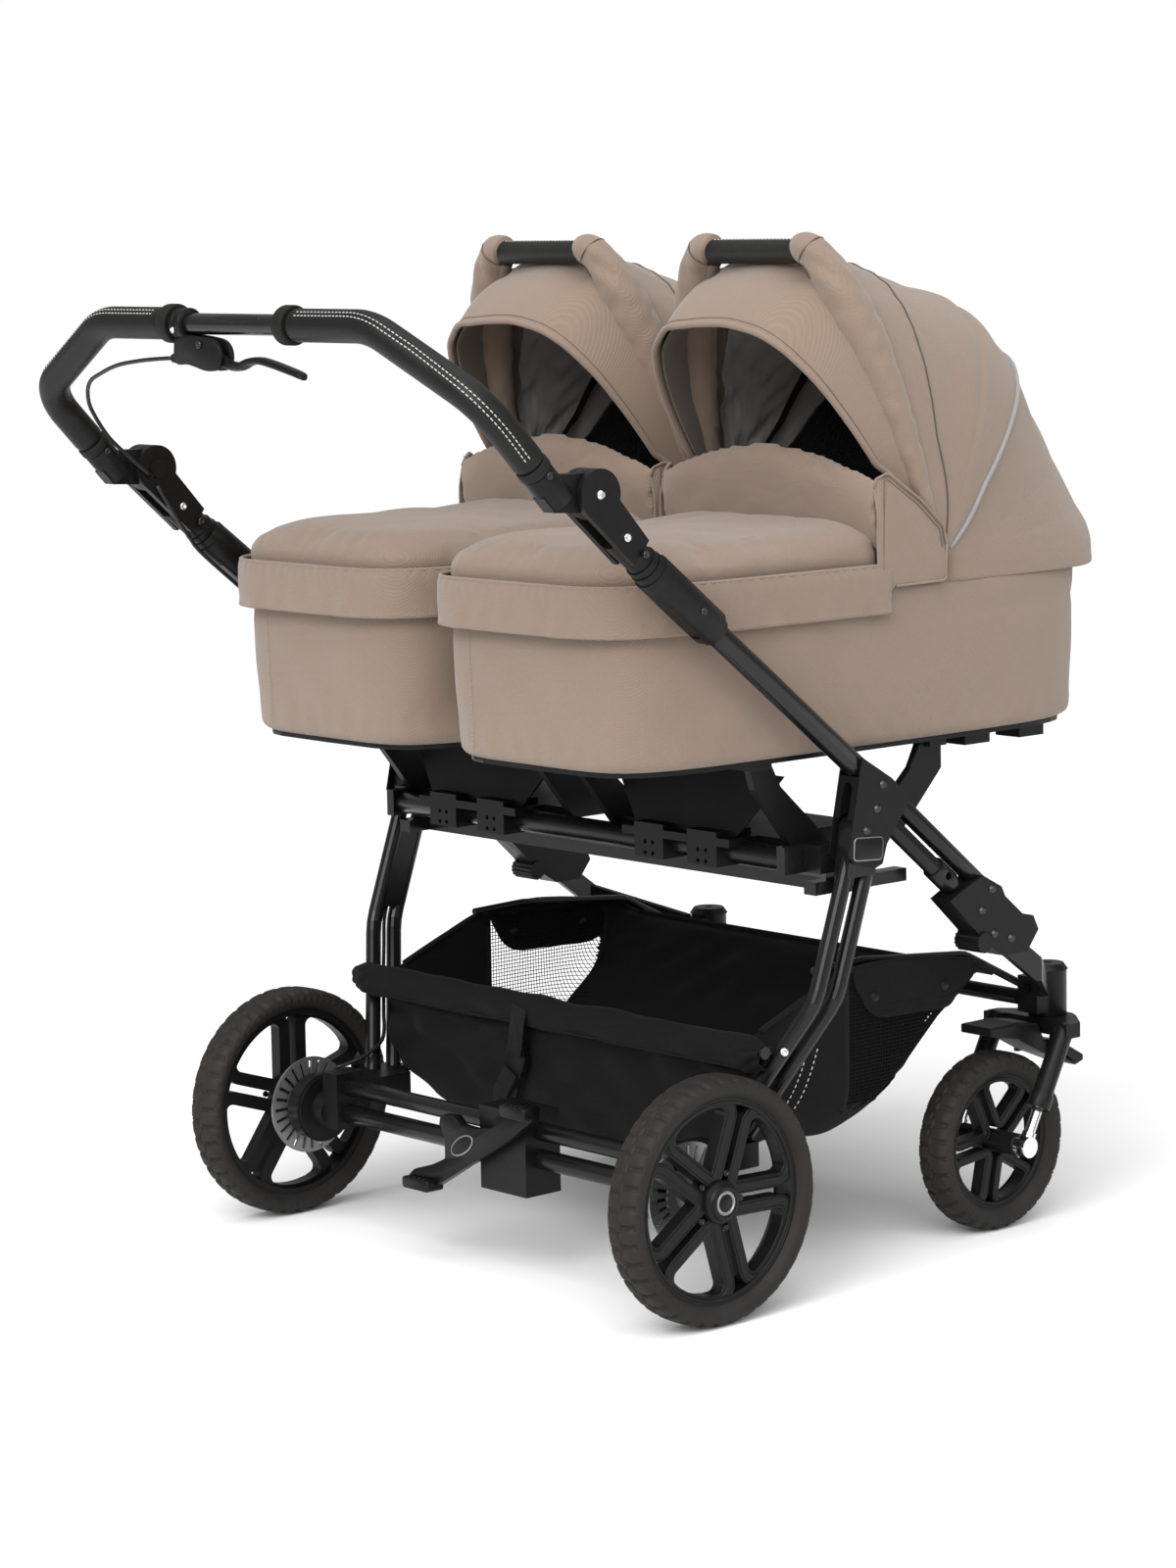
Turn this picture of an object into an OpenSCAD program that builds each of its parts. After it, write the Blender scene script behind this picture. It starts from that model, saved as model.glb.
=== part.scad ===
// Twin pram: folding chassis, two lift-off carrycots side by side, swivel front wheels.
// X runs across, Y forward in the direction of travel, Z up. Ground is z = 0.

/* [Overall] */
// Width over the rear tyres
track_w = 760; // [745:1:790]
// Rear axle to front axle
wheelbase = 506; // [490:1:530]
// Centre plane of each side frame, from the middle
frame_x = 371; // [369:1:378]
// Front of the handlebar behind the rear axle
handle_back = 321; // [300:1:340]
// Height of the handlebar
handle_z = 1046; // [1020:1:1070]

/* [Rear wheels] */
// Rear wheel diameter over the tyre
rear_wheel_d = 264; // [250:1:280]
// Rear tyre width
rear_tyre_w = 45; // [38:1:50]
// Rear rim diameter under the tyre
rear_rim_d = 218; // [206:1:226]
// Rear wheel axle diameter
rear_axle_d = 12; // [10:0.5:14]

/* [Front wheels] */
// Front wheel diameter over the tyre
front_wheel_d = 203; // [190:1:210]
// Front tyre width
front_tyre_w = 43; // [36:1:46]
// Front rim diameter under the tyre
front_rim_d = 152; // [140:1:160]
// Front wheel axle diameter
front_axle_d = 10; // [8:0.5:12]
// Swivel axis from the middle
swivel_x = 282; // [274:1:286]
// Swivel axis ahead of the front axle
trail = 96; // [92:1:104]
// Front suspension travel
fork_travel = 9; // [4:1:10]

/* [Wheel spokes] */
// Number of twin-bar spokes
spokes = 5; // [5:1:7]
// Width of a rear spoke pair
rear_spoke_w = 29; // [24:1:32]
// Width of a front spoke pair
front_spoke_w = 22; // [18:1:24]
// Width of the slot between the two bars
spoke_slot_w = 8; // [5:1:9]
// Turn of the right rear rim, from a spoke pointing down
rear_turn_right = 16; // [0:1:72]
// Turn of the left rear rim
rear_turn_left = 36; // [0:1:72]
// Turn of the front rims
front_turn = 60; // [0:1:72]

/* [Frame tubes] */
// Push tube diameter
push_d = 25; // [22:0.5:26]
// Push tube angle above level
push_angle = 38.3; // [36:0.1:40]
// Rear leg tube diameter
leg_d = 18; // [16:0.5:20]
// Spacing of the two rear leg tubes
leg_gap = 31; // [28:1:34]
// Front leg tube diameter
front_tube_d = 20; // [16:0.5:22]
// Spacing of the two front leg tubes
front_tube_gap = 25; // [24:1:28]
// Round cross tube diameter
cross_d = 25; // [20:1:28]
// Lower axle tube diameter
axle_tube_d = 22; // [18:1:24]
// Upper axle tube diameter
upper_axle_d = 20; // [16:1:22]

/* [Handlebar] */
// Handle tube diameter
handle_d = 22; // [19:1:24]
// Grip diameter
grip_d = 34; // [30:1:36]
// Bare middle of the handlebar, between the collars
bare_w = 202; // [190:1:220]
// Straight width of the handlebar
bar_w = 454; // [430:2:470]

/* [Carrycots] */
// Distance between the cot middles
cot_pitch = 350; // [348:1:356]
// Width of the tub at the base
tub_w = 326; // [310:1:328]
// Length of the tub at the base
tub_l = 716; // [690:2:730]
// Height of the tub from base to rim
tub_h = 172; // [150:1:180]
// Thickness of the padded tub wall
tub_wall = 9; // [6:0.5:12]
// Width over the apron skirt
apron_w = 342; // [340:1:345]
// Length over the apron skirt
apron_l = 758; // [750:2:770]
// Height of the hood above its pivots
hood_r = 350; // [335:1:355]
// Hood fabric thickness
hood_t = 2.5; // [1.5:0.1:3]

/* [Basket] */
// Basket width at the rim
basket_w = 600; // [570:2:606]
// Basket fabric thickness
basket_t = 4; // [2:0.5:5]

/* [Hidden] */
$fn = 48;

// Shared clearances
seat = 0.3;
run = 0.05;
over = 1;
bend_step = 15;
pipe_sides = 16;

// Colours
black_plastic = "#262626";
black_metal = "#1c1c1e";
rubber = "#2b2826";
fabric = "#a39180";
nylon = "#161617";
bright = "#b8b8ba";

// Rear axle line is the working origin; the finished part is shifted so that
// its origin lies under the middle of its box.
rear_r = rear_wheel_d / 2;
front_r = front_wheel_d / 2;
rear_x = track_w / 2 - rear_tyre_w / 2;
swivel_y = wheelbase + trail;
cot_y = 273;
cot_x = cot_pitch / 2;
pivot_y = 96;
hood_tail_share = 0.917;
collar_d = grip_d + 7;
front_end = cot_y + pivot_y + hood_r * hood_tail_share;
rear_end = -handle_back - collar_d / 2;
middle_y = (front_end + rear_end) / 2;

// Side plate: a hollow box with two cheeks, outline in shares of its depth and height
plate_y = 175;
plate_z = 459;
plate_depth = 97;
plate_h = 120;
plate_t = 31;
plate_gap = push_d + 1.4;
plate_shares = [[0.02, 0.14], [0.25, 1], [0.7, 0.783], [1, 0.583], [0.62, 0.2], [0.55, 0.03],
    [0.44, 0], [0.1, 0.07]];
pocket_shares = [[-1.22, 0.31], [-0.4, 0.72], [0.4, 0.72], [1.59, 0.24], [1.59, -4.7], [-2.04, -4.7]];
push_pivot = [230, 547];
rear_pivot = [205, 500];
pin_d = 8;
fold_swing = 145;

// Push tube stations along its own line, measured from the fold pivot
push_dir = [0, -cos(push_angle), sin(push_angle)];
push_up = [0, sin(push_angle), cos(push_angle)];
sleeve_from = 290;
sleeve_to = 410;
sleeve_d = 41;
collar_h = 9;
neck_d = 31;
neck_to = 462;
knuckle_s = 514;
knuckle_up = 15;
knuckle_r = 26;
ear_t = 8;
tongue_t = 17;
button_d = 21;
button_h = 8;
button_travel = 3;
function push_at(s, up = 0) = [frame_x, push_pivot[0], push_pivot[1]] + s * push_dir + up * push_up;
knuckle = push_at(knuckle_s, knuckle_up);

// Handlebar path, right half, from the middle outwards
arm_top = [frame_x, -298, 970];
arm_end = [frame_x, -238, 907];
bar_end = [bar_w / 2, -handle_back, handle_z];
handle_bend = 45;
arm_dir = (arm_end - arm_top) / norm(arm_end - arm_top);

// Rear legs
leg_top_z = 492;
leg_top_y = 209;
leg_bend = [frame_x, 156, 322];
leg_foot_z = 168;
leg_in_share = 0.5;
leg_back_share = 0.44;
leg_drop = leg_bend[2] - leg_foot_z;
leg_foot = [frame_x - leg_in_share * leg_drop, leg_bend[1] - leg_back_share * leg_drop, leg_foot_z];
leg_bend_r = 60;
upper_axle_up = 31;

// Front legs
front_start = [286, 507];
front_angle = 39.3;
front_dir = [0, cos(front_angle), -sin(front_angle)];
front_down = [0, -sin(front_angle), -cos(front_angle)];
front_tube_l = 150;
front_tube_in = 25;
front_tube_step = 4;

function flip(v, side) = [side * v[0], v[1], v[2]];
function unit(v) = v / norm(v);
function superellipse(a, hw, hl, n) = [hw * sign(cos(a)) * pow(abs(cos(a)), 2 / n),
    hl * sign(sin(a)) * pow(abs(sin(a)), 2 / n)];
function scaled(shares, w, h) = [for (p = shares) [p[0] * w, p[1] * h]];

module placed() {
    translate([0, -middle_y, 0]) children();
}

module both_sides() {
    children();
    mirror([1, 0, 0]) children();
}

// Children with their Z axis laid from p towards q
module along(p, q) {
    d = q - p;
    translate(p) rotate([0, acos(d[2] / norm(d)), atan2(d[1], d[0])]) children();
}

module rod(p, q, r) {
    along(p, q) cylinder(r = r, h = norm(q - p));
}

// Points with every inner corner replaced by an arc of the given bend radius
function rounded(points, bend) = let (last = len(points) - 1) [for (i = [0:last]) each
    i == 0 || i == last ? [points[i]] : let (
        a = unit(points[i] - points[i - 1]), b = unit(points[i + 1] - points[i]),
        turn = acos(min(1, a * b)), n = unit(b - (a * b) * a), start = points[i] - a * bend * tan(turn / 2),
        steps = max(1, ceil(turn / bend_step)))
        [for (k = [0:steps]) start + bend * (sin(turn * k / steps) * a + (1 - cos(turn * k / steps)) * n)]];

// Round bar swept along points with its corners bent; ref is never in line with the bar
module pipe(points, r, bend, ref) {
    swept(rounded(points, bend), r, pipe_sides, ref);
}

// Outline given in (y, z), extruded across X around x
module side_slab(x, t, outline) {
    translate([x + t / 2, 0, 0]) rotate([90, 0, -90]) mirror([1, 0, 0]) linear_extrude(t) polygon(outline);
}

// Cylinder across X
module cross_pin(x0, x1, yz, r) {
    translate([x0, yz[0], yz[1]]) rotate([0, 90, 0]) cylinder(r = r, h = x1 - x0);
}

module box(lo, hi) {
    translate(lo) cube(hi - lo);
}

// Closed loft through superellipse rings of [z, half width, half length]
module loft(rings, n, sides) {
    pts = [for (r = rings) for (i = [0:sides - 1])
        let (p = superellipse(360 * i / sides, r[1], r[2], n)) [p[0], p[1], r[0]]];
    top = (len(rings) - 1) * sides;
    faces = concat([[for (i = [0:sides - 1]) i]], [[for (i = [sides - 1:-1:0]) top + i]],
        [for (k = [0:len(rings) - 2]) for (i = [0:sides - 1]) let (j = (i + 1) % sides, b = k * sides)
            each [[b + i, b + sides + i, b + sides + j], [b + i, b + sides + j, b + j]]]);
    polyhedron(points = pts, faces = faces);
}

// Closed thin sheet between two point grids of the same size, rows by columns
module sheet(outer, inner) {
    rows = len(outer);
    cols = len(outer[0]);
    m = rows * cols;
    pts = concat([for (r = outer) each r], [for (r = inner) each r]);
    function at(i, j, k) = k * m + i * cols + j;
    skins = [for (i = [0:rows - 2]) for (j = [0:cols - 2]) each [
        [at(i, j, 0), at(i, j + 1, 0), at(i + 1, j + 1, 0)],
        [at(i, j, 0), at(i + 1, j + 1, 0), at(i + 1, j, 0)],
        [at(i, j, 1), at(i + 1, j + 1, 1), at(i, j + 1, 1)],
        [at(i, j, 1), at(i + 1, j, 1), at(i + 1, j + 1, 1)]]];
    ends = [for (j = [0:cols - 2]) each [
        [at(0, j, 0), at(0, j, 1), at(0, j + 1, 1)], [at(0, j, 0), at(0, j + 1, 1), at(0, j + 1, 0)],
        [at(rows - 1, j, 0), at(rows - 1, j + 1, 1), at(rows - 1, j, 1)],
        [at(rows - 1, j, 0), at(rows - 1, j + 1, 0), at(rows - 1, j + 1, 1)]]];
    sides = [for (i = [0:rows - 2]) each [
        [at(i, 0, 0), at(i + 1, 0, 1), at(i, 0, 1)], [at(i, 0, 0), at(i + 1, 0, 0), at(i + 1, 0, 1)],
        [at(i, cols - 1, 0), at(i, cols - 1, 1), at(i + 1, cols - 1, 1)],
        [at(i, cols - 1, 0), at(i + 1, cols - 1, 1), at(i + 1, cols - 1, 0)]]];
    polyhedron(points = pts, faces = concat(skins, ends, sides));
}

// Tube swept along a route
module swept(route, r, sides, ref) {
    last = len(route) - 1;
    dirs = [for (i = [0:last]) unit(route[min(i + 1, last)] - route[max(i - 1, 0)])];
    side = [for (d = dirs) unit(cross(d, ref))];
    pts = [for (i = [0:last]) let (u = side[i], v = cross(dirs[i], u))
        for (k = [0:sides - 1]) route[i] + r * (u * cos(360 * k / sides) + v * sin(360 * k / sides))];
    faces = concat([[for (k = [0:sides - 1]) k]], [[for (k = [sides - 1:-1:0]) last * sides + k]],
        [for (i = [0:last - 1]) for (k = [0:sides - 1]) let (j = (k + 1) % sides, b = i * sides)
            each [[b + k, b + sides + k, b + sides + j], [b + k, b + sides + j, b + j]]]);
    polyhedron(points = pts, faces = faces);
}

// Side plates: the box that the push tube, rear legs and front legs meet in
module side_plate() {
    outline = [for (p = scaled(plate_shares, plate_depth, plate_h)) [plate_y + p[0], plate_z + p[1]]];
    swing_r = push_d / 2 + seat;
    folded = 180 - push_angle - fold_swing;
    under = [sin(folded), -cos(folded)] * swing_r;
    forward = [cos(folded), sin(folded)] * plate_h;
    back = [-cos(push_angle), sin(push_angle)] * plate_h;
    below = [-sin(push_angle), -cos(push_angle)] * swing_r;
    leg_room = leg_gap / 2 + leg_d / 2 + over;
    difference() {
        side_slab(frame_x, plate_t, outline);
        side_slab(frame_x, plate_gap, [push_pivot + under, push_pivot + under + forward,
            push_pivot + under + forward + [0, plate_h], push_pivot + below + back, push_pivot + below]);
        cross_pin(frame_x - plate_gap / 2, frame_x + plate_gap / 2, push_pivot, swing_r);
        side_slab(frame_x, plate_gap, [for (p = pocket_shares) rear_pivot + leg_room * p]);
        plate_slot();
        for (g = [0, front_tube_gap]) front_tube(g, run, over);
        for (p = [push_pivot, rear_pivot]) cross_pin(frame_x - plate_t, frame_x + plate_t, p, pin_d / 2 + run);
    }
}

slot_w = 13;
slot_z = [512, 545];
slot_in = 16;
// Obround opening in the rear wall of the plate
module plate_slot() {
    y = plate_y - slot_in;
    depth = 3 * slot_in;
    for (z = slot_z) translate([frame_x, y, z]) rotate([-90, 0, 0]) cylinder(d = slot_w, h = depth);
    box([frame_x - slot_w / 2, y, slot_z[0]], [frame_x + slot_w / 2, y + depth, slot_z[1]]);
}

module side_plates() color(black_plastic) placed() both_sides() side_plate();

// Front leg tubes
function front_at(s, down = 0) = [frame_x, front_start[0], front_start[1]] + s * front_dir + down * front_down;
module front_tube(down, grow, extra) {
    start = -front_tube_in - front_tube_step * down / front_tube_gap - extra;
    rod(front_at(start, down), front_at(front_tube_l + extra, down), front_tube_d / 2 + grow);
}

lock_from = 66;
lock_l = 30;
lock_wall = 2.5;
lock_step = 4;
lock_hole = 9;
module front_legs() color(black_metal) placed() both_sides() {
    front_tube(0, 0, 0);
    difference() {
        union() {
            front_tube(front_tube_gap, 0, 0);
            rod(front_at(lock_from, front_tube_gap), front_at(lock_from + lock_l, front_tube_gap),
                front_tube_d / 2 + lock_wall);
            rod(front_at(lock_from + lock_l, front_tube_gap),
                front_at(lock_from + lock_l + lock_step, front_tube_gap), front_tube_d / 2 + lock_wall / 2);
        }
        translate(front_at(lock_from + lock_l / 2, front_tube_gap)) rotate([0, 90, 0])
            cylinder(d = lock_hole, h = front_tube_d);
    }
}

// Front bracket: the moulded box at the foot of the front legs
bracket_at = [332, 338];
bracket_w = 141;
bracket_h = 93;
bracket_t = 30;
bracket_shares = [[0, 0.76], [0.14, 0.86], [0.37, 1], [0.58, 0.83], [0.62, 0.71], [0.82, 0.46],
    [0.94, 0.42], [1, 0.24], [0.87, 0], [0.6, 0], [0.39, 0.2], [0.28, 0.37]];
bracket_pins = [[399, 414], [383, 392], [402, 364], [429, 356]];
knob_at = [384, 357];
knob_d = 24;
knob_ribs = 14;
knob_valley_share = 0.87;
knob_out = 3;
arm_t = 8;
arm_h = 26;
boss_w = 30;
front_bar = [[frame_x, 420, 360], [frame_x, 486, 312], [swivel_x + boss_w / 2, 578, 272]];
module front_brackets() color(black_plastic) placed() both_sides() {
    outline = [for (p = scaled(bracket_shares, bracket_w, bracket_h)) bracket_at + p];
    difference() {
        side_slab(frame_x, bracket_t, outline);
        for (g = [0, front_tube_gap]) front_tube(g, run, seat);
        front_bar_blank(seat);
    }
    knob = [for (i = [0:2 * knob_ribs - 1]) let (a = 180 * i / knob_ribs)
        knob_d / 2 * (i % 2 == 0 ? 1 : knob_valley_share) * [cos(a), sin(a)]];
    translate([frame_x - bracket_t / 2 - knob_out, knob_at[0], knob_at[1]]) rotate([0, 90, 0])
        linear_extrude(bracket_t + 2 * knob_out) polygon(knob);
}

// Flat bar from the bracket to the swivel housing
module front_bar_blank(grow) {
    for (i = [0:1]) hull() for (p = [front_bar[i], front_bar[i + 1]])
        translate(p) cube([arm_t + 2 * grow, arm_t + 2 * grow, arm_h + 2 * grow], center = true);
}

front_cross_d = 18;
front_cross = [swivel_y - 30, 255];
rail_d = 9;
side_rail = [[swivel_x + 2, swivel_y - 34, 268], [swivel_x + 2, 520, 292], [swivel_x + 2, 462, 321],
    [swivel_x + 2, 300, 336], [swivel_x + 2, 224, 334]];
side_rail_bend = 40;
module front_arms() color(black_metal) placed() {
    both_sides() {
        front_bar_blank(0);
        pipe(side_rail, rail_d / 2, side_rail_bend, [1, 0, 0]);
    }
    cross_pin(-swivel_x + boss_w / 2 + run, swivel_x - boss_w / 2 - run, front_cross, front_cross_d / 2);
}

// Swivel housings with their caps
housing_r = 22;
housing_z = [234, 286];
cap_h = 7;
cap_over = 1.5;
stem_d = 14;
stem_top = 276;
boss_l = 34;
notch = 5;
module swivel_housing() {
    difference() {
        union() {
            translate([swivel_x, swivel_y, housing_z[0]]) {
                cylinder(r = housing_r, h = housing_z[1] - housing_z[0]);
                translate([0, 0, housing_z[1] - housing_z[0]])
                    cylinder(r1 = housing_r + cap_over, r2 = housing_r - cap_h / 2, h = cap_h);
            }
            box([swivel_x - boss_w / 2, swivel_y - boss_l, housing_z[0] + notch],
                [swivel_x + boss_w / 2, swivel_y, housing_z[1] - notch]);
        }
        translate([swivel_x, swivel_y, housing_z[0] - over])
            cylinder(d = stem_d + 2 * run, h = stem_top + seat - housing_z[0] + over);
        translate([swivel_x, swivel_y, housing_z[1] + cap_h - notch / 2]) cylinder(r = notch, h = notch);
        front_bar_blank(seat);
        rod(side_rail[0] - [0, side_rail[1][1] - side_rail[0][1], side_rail[1][2] - side_rail[0][2]] / 4,
            side_rail[1], rail_d / 2 + run);
    }
}
module swivel_housings() color(black_plastic) placed() both_sides() swivel_housing();

// Cross members: round tube and flat bar with their end clamps
cross_yz = [150, 470];
cross_half = 328;
clamp_x = [321, 333];
clamp_y0 = 135;
clamp_z = [455, 485];
link_depth = [166, 200];
side_bar_x = [330, 348];
side_bar_y = [166, 304];
bar_yz = [209, 438];
bar_depth = 26;
bar_h = 14;
bar_block = [20, 30, 40];
inner_cheek = frame_x - plate_t / 2 - seat;
module cross_members() color(black_metal) placed() {
    cross_pin(-cross_half, cross_half, cross_yz, cross_d / 2);
    box([-inner_cheek, bar_yz[0] - bar_depth / 2, bar_yz[1] - bar_h / 2],
        [inner_cheek, bar_yz[0] + bar_depth / 2, bar_yz[1] + bar_h / 2]);
    both_sides() {
        difference() {
            union() {
                box([clamp_x[0], clamp_y0, clamp_z[0]], [clamp_x[1], link_depth[1], clamp_z[1]]);
                box([clamp_x[0], link_depth[0], clamp_z[0]], [inner_cheek, link_depth[1], clamp_z[1]]);
            }
            cross_pin(0, cross_half + seat, cross_yz, cross_d / 2 + run);
        }
        box([side_bar_x[0], side_bar_y[0], bar_yz[1] - bar_h / 2],
            [side_bar_x[1], side_bar_y[1], bar_yz[1] + bar_h / 2]);
        box([inner_cheek - bar_block[0], bar_yz[0] - bar_block[1] / 2, bar_yz[1] + bar_h / 2 + run],
            [inner_cheek, bar_yz[0] + bar_block[1] / 2, bar_yz[1] + bar_h / 2 + bar_block[2]]);
    }
}

// Cot cradles: an inverted pyramid with V arms, clamped on the cross tube
cradle_y = [97, 389];
cradle_z = [478, 575];
cradle_arm_t = 9;
cradle_arm_x = 140;
v_shares = [[0, 1], [0.11, 1], [0.16, 0.72], [0.35, 0.2], [0.65, 0.2], [0.84, 0.72], [0.89, 1],
    [1, 1], [1, 0.67], [0.78, 0], [0.22, 0], [0.03, 0.72]];
pad_w = 26;
pad_t = 6;
cradle_plate_t = 3;
cradle_floor_y = [168, 318];
trap_low = 150;
trap_high = 268;
trap_z = [492, 568];
trap_y = 142;
trap_tilt = 14;
block_x = 42;
block_w = 46;
block_depth = [124, 176];
block_z = [455, 492];
block_holes = 4;
block_hole_gap = 12;
module cot_cradle() {
    depth = cradle_y[1] - cradle_y[0];
    rise = cradle_z[1] - cradle_z[0];
    outline = [for (p = scaled(v_shares, depth, rise)) [cradle_y[0] + p[0], cradle_z[0] + p[1]]];
    translate([cot_x, 0, 0]) {
        difference() {
            union() {
                for (s = [-1, 1]) side_slab(s * cradle_arm_x, cradle_arm_t, outline);
                for (s = [-1, 1]) for (y = [cradle_y[0] + pad_w / 2, cradle_y[1] - pad_w / 2])
                    box([s * cradle_arm_x - pad_w / 2, y - pad_w / 2, cradle_z[1] - pad_t],
                        [s * cradle_arm_x + pad_w / 2, y + pad_w / 2, cradle_z[1]]);
                box([-cradle_arm_x, cradle_floor_y[0], cradle_z[0]],
                    [cradle_arm_x, cradle_floor_y[1], cradle_z[0] + cradle_arm_t]);
                box([-trap_low / 2 - 2 * notch, block_depth[0], cradle_z[0]],
                    [trap_low / 2 + 2 * notch, cradle_floor_y[0] + over, cradle_z[0] + cradle_arm_t]);
                for (s = [-1, 1]) box([s * block_x - block_w / 2, block_depth[0], block_z[0]],
                    [s * block_x + block_w / 2, block_depth[1], block_z[1] + over]);
                translate([0, trap_y, trap_z[0] - 2 * notch]) rotate([90 - trap_tilt, 0, 0])
                    linear_extrude(cradle_plate_t) polygon([[-trap_low / 2, 0], [trap_low / 2, 0],
                        [trap_high / 2, trap_z[1] - trap_z[0]], [-trap_high / 2, trap_z[1] - trap_z[0]]]);
            }
            cross_pin(-cot_x, cot_x, cross_yz, cross_d / 2 + run);
            for (s = [-1, 1]) for (i = [-1, 1]) for (k = [0, 1])
                translate([s * block_x + i * block_hole_gap / 2, block_depth[0] - over,
                    block_z[0] + notch + k * block_hole_gap]) rotate([-90, 0, 0])
                    cylinder(d = notch, h = notch + over);
        }
    }
}
module cot_cradles() color(black_plastic) placed() both_sides() cot_cradle();

// Rivets and screws of the frame, pressed against the faces they hold
rivet_r = 5;
rivet_h = 2.5;
module rivet_head(x, yz) {
    translate([x, yz[0], yz[1]]) rotate([0, 90, 0]) cylinder(r1 = rivet_r, r2 = rivet_r * 0.6, h = rivet_h);
}
plate_pins = [[221, 522], [205, 500], [230, 547]];
module frame_rivets() color(bright) placed() both_sides() {
    for (p = plate_pins) rivet_head(frame_x + plate_t / 2 + run, p);
    for (p = bracket_pins) rivet_head(frame_x + bracket_t / 2 + run, p);
    for (p = [push_pivot, rear_pivot]) cross_pin(frame_x - plate_t / 2, frame_x + plate_t / 2, p, pin_d / 2);
}

// Push tubes
module push_tubes() color(black_metal) placed() both_sides() difference() {
    union() {
        rod(push_at(0), push_at(neck_to - collar_h), push_d / 2);
        intersection() {
            cross_pin(frame_x - push_d / 2, frame_x + push_d / 2, push_pivot, push_d / 2);
            along(push_at(-push_d), push_at(0)) cylinder(d = push_d, h = push_d + over);
        }
    }
    cross_pin(frame_x - push_d, frame_x + push_d, push_pivot, pin_d / 2 + run);
}

// Lock sleeves on the push tubes, with side flats and a collar at each end
flat_l = 62;
flat_in = 2;
module tube_sleeves() color(black_plastic) placed() both_sides() difference() {
    union() {
        rod(push_at(sleeve_from), push_at(sleeve_from + collar_h), sleeve_d / 2 - flat_in * 2);
        rod(push_at(sleeve_from + collar_h), push_at(sleeve_to - collar_h), sleeve_d / 2);
        rod(push_at(sleeve_to - collar_h), push_at(sleeve_to), sleeve_d / 2 - flat_in);
    }
    rod(push_at(sleeve_from - over), push_at(sleeve_to + over), push_d / 2 + run);
    along(push_at(sleeve_from + collar_h * 2), push_at(sleeve_to))
        for (s = [-1, 1]) translate([s * (sleeve_d - flat_in), 0, flat_l / 2])
            cube([sleeve_d, sleeve_d, flat_l], center = true);
}

// Lower knuckles: socket on the push tube and two ears round the handle tongue
ear_from = 434;
ear_front_shares = [-0.9, 0.4];
knuckle_yz = [knuckle[1], knuckle[2]];
module knuckle_plate(x, t) {
    neck = push_at(ear_from);
    front = knuckle + knuckle_r * (ear_front_shares[0] * push_dir + ear_front_shares[1] * push_up);
    side_slab(x, t, [for (p = [neck - push_up * neck_d / 2, neck + push_up * neck_d / 2, front, knuckle,
        knuckle - push_up * knuckle_r]) [p[1], p[2]]]);
    cross_pin(x - t / 2, x + t / 2, knuckle_yz, knuckle_r);
}
module lower_knuckles() color(black_plastic) placed() both_sides() difference() {
    union() {
        rod(push_at(sleeve_to + seat), push_at(neck_to), neck_d / 2);
        rod(push_at(sleeve_to + seat), push_at(sleeve_to + collar_h), neck_d / 2 + flat_in);
        for (s = [-1, 1]) knuckle_plate(frame_x + s * (tongue_t / 2 + ear_t / 2), ear_t);
    }
    rod(push_at(sleeve_to - over), push_at(neck_to - collar_h + seat), push_d / 2 + run);
    cross_pin(frame_x - tongue_t / 2, frame_x + tongue_t / 2, knuckle_yz, knuckle_r + seat * 2);
    cross_pin(frame_x - plate_t, frame_x + plate_t, knuckle_yz, pin_d / 2 + run);
    cross_pin(frame_x - ear_out - over, frame_x - ear_out + button_h, knuckle_yz, button_d / 2 + run);
}
ear_out = tongue_t / 2 + ear_t;
module knuckle_pins() color(bright) placed() both_sides() {
    cross_pin(frame_x - ear_out + button_h, frame_x + ear_out, knuckle_yz, pin_d / 2);
    rivet_head(frame_x + ear_out + run, knuckle_yz);
}

// Push buttons on the inner side of each knuckle
module knuckle_button() {
    x = frame_x - ear_out - button_travel;
    cross_pin(x, x + button_h - seat, knuckle_yz, button_d / 2);
}
module button_right() color(black_plastic) placed() knuckle_button();
module button_left() color(black_plastic) placed() mirror([1, 0, 0]) knuckle_button();

// Handle tube, one bent bar from arm to arm
tube_in = 26;
arm_foot = arm_end + arm_dir * (tube_in - seat);
handle_points = concat([for (p = [arm_foot, arm_top, bar_end]) flip(p, -1)], [bar_end, arm_top, arm_foot]);
module handle_tube() color(black_metal) placed() pipe(handle_points, handle_d / 2, handle_bend, [0, 1, 0]);

// Grips round both bends
grip_gap = 6;
module handle_grips() color(rubber) placed() both_sides() {
    route = [[bare_w / 2 + grip_gap, -handle_back, handle_z], bar_end, arm_top, arm_end - arm_dir * grip_gap];
    bore = [[bare_w / 2 - over, -handle_back, handle_z], bar_end, arm_top, arm_end + arm_dir * over];
    difference() {
        pipe(route, grip_d / 2, handle_bend, [0, 1, 0]);
        pipe(bore, handle_d / 2 + seat, handle_bend, [0, 1, 0]);
    }
}

// Rubber collars at both ends of each grip
collar_l = 16;
module ring(p, q, d_out, d_in) {
    difference() {
        rod(p, q, d_out / 2);
        rod(p - unit(q - p) * over, q + unit(q - p) * over, d_in / 2);
    }
}
module grip_collars() color(rubber) placed() both_sides() {
    x0 = bare_w / 2 - collar_l + grip_gap;
    ring([x0, -handle_back, handle_z], [bare_w / 2 + grip_gap - seat, -handle_back, handle_z],
        collar_d, handle_d + 2 * run);
    ring(arm_end - arm_dir * (grip_gap - seat), arm_end + arm_dir * grip_gap, collar_d - grip_gap,
        handle_d + 2 * run);
}

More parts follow.
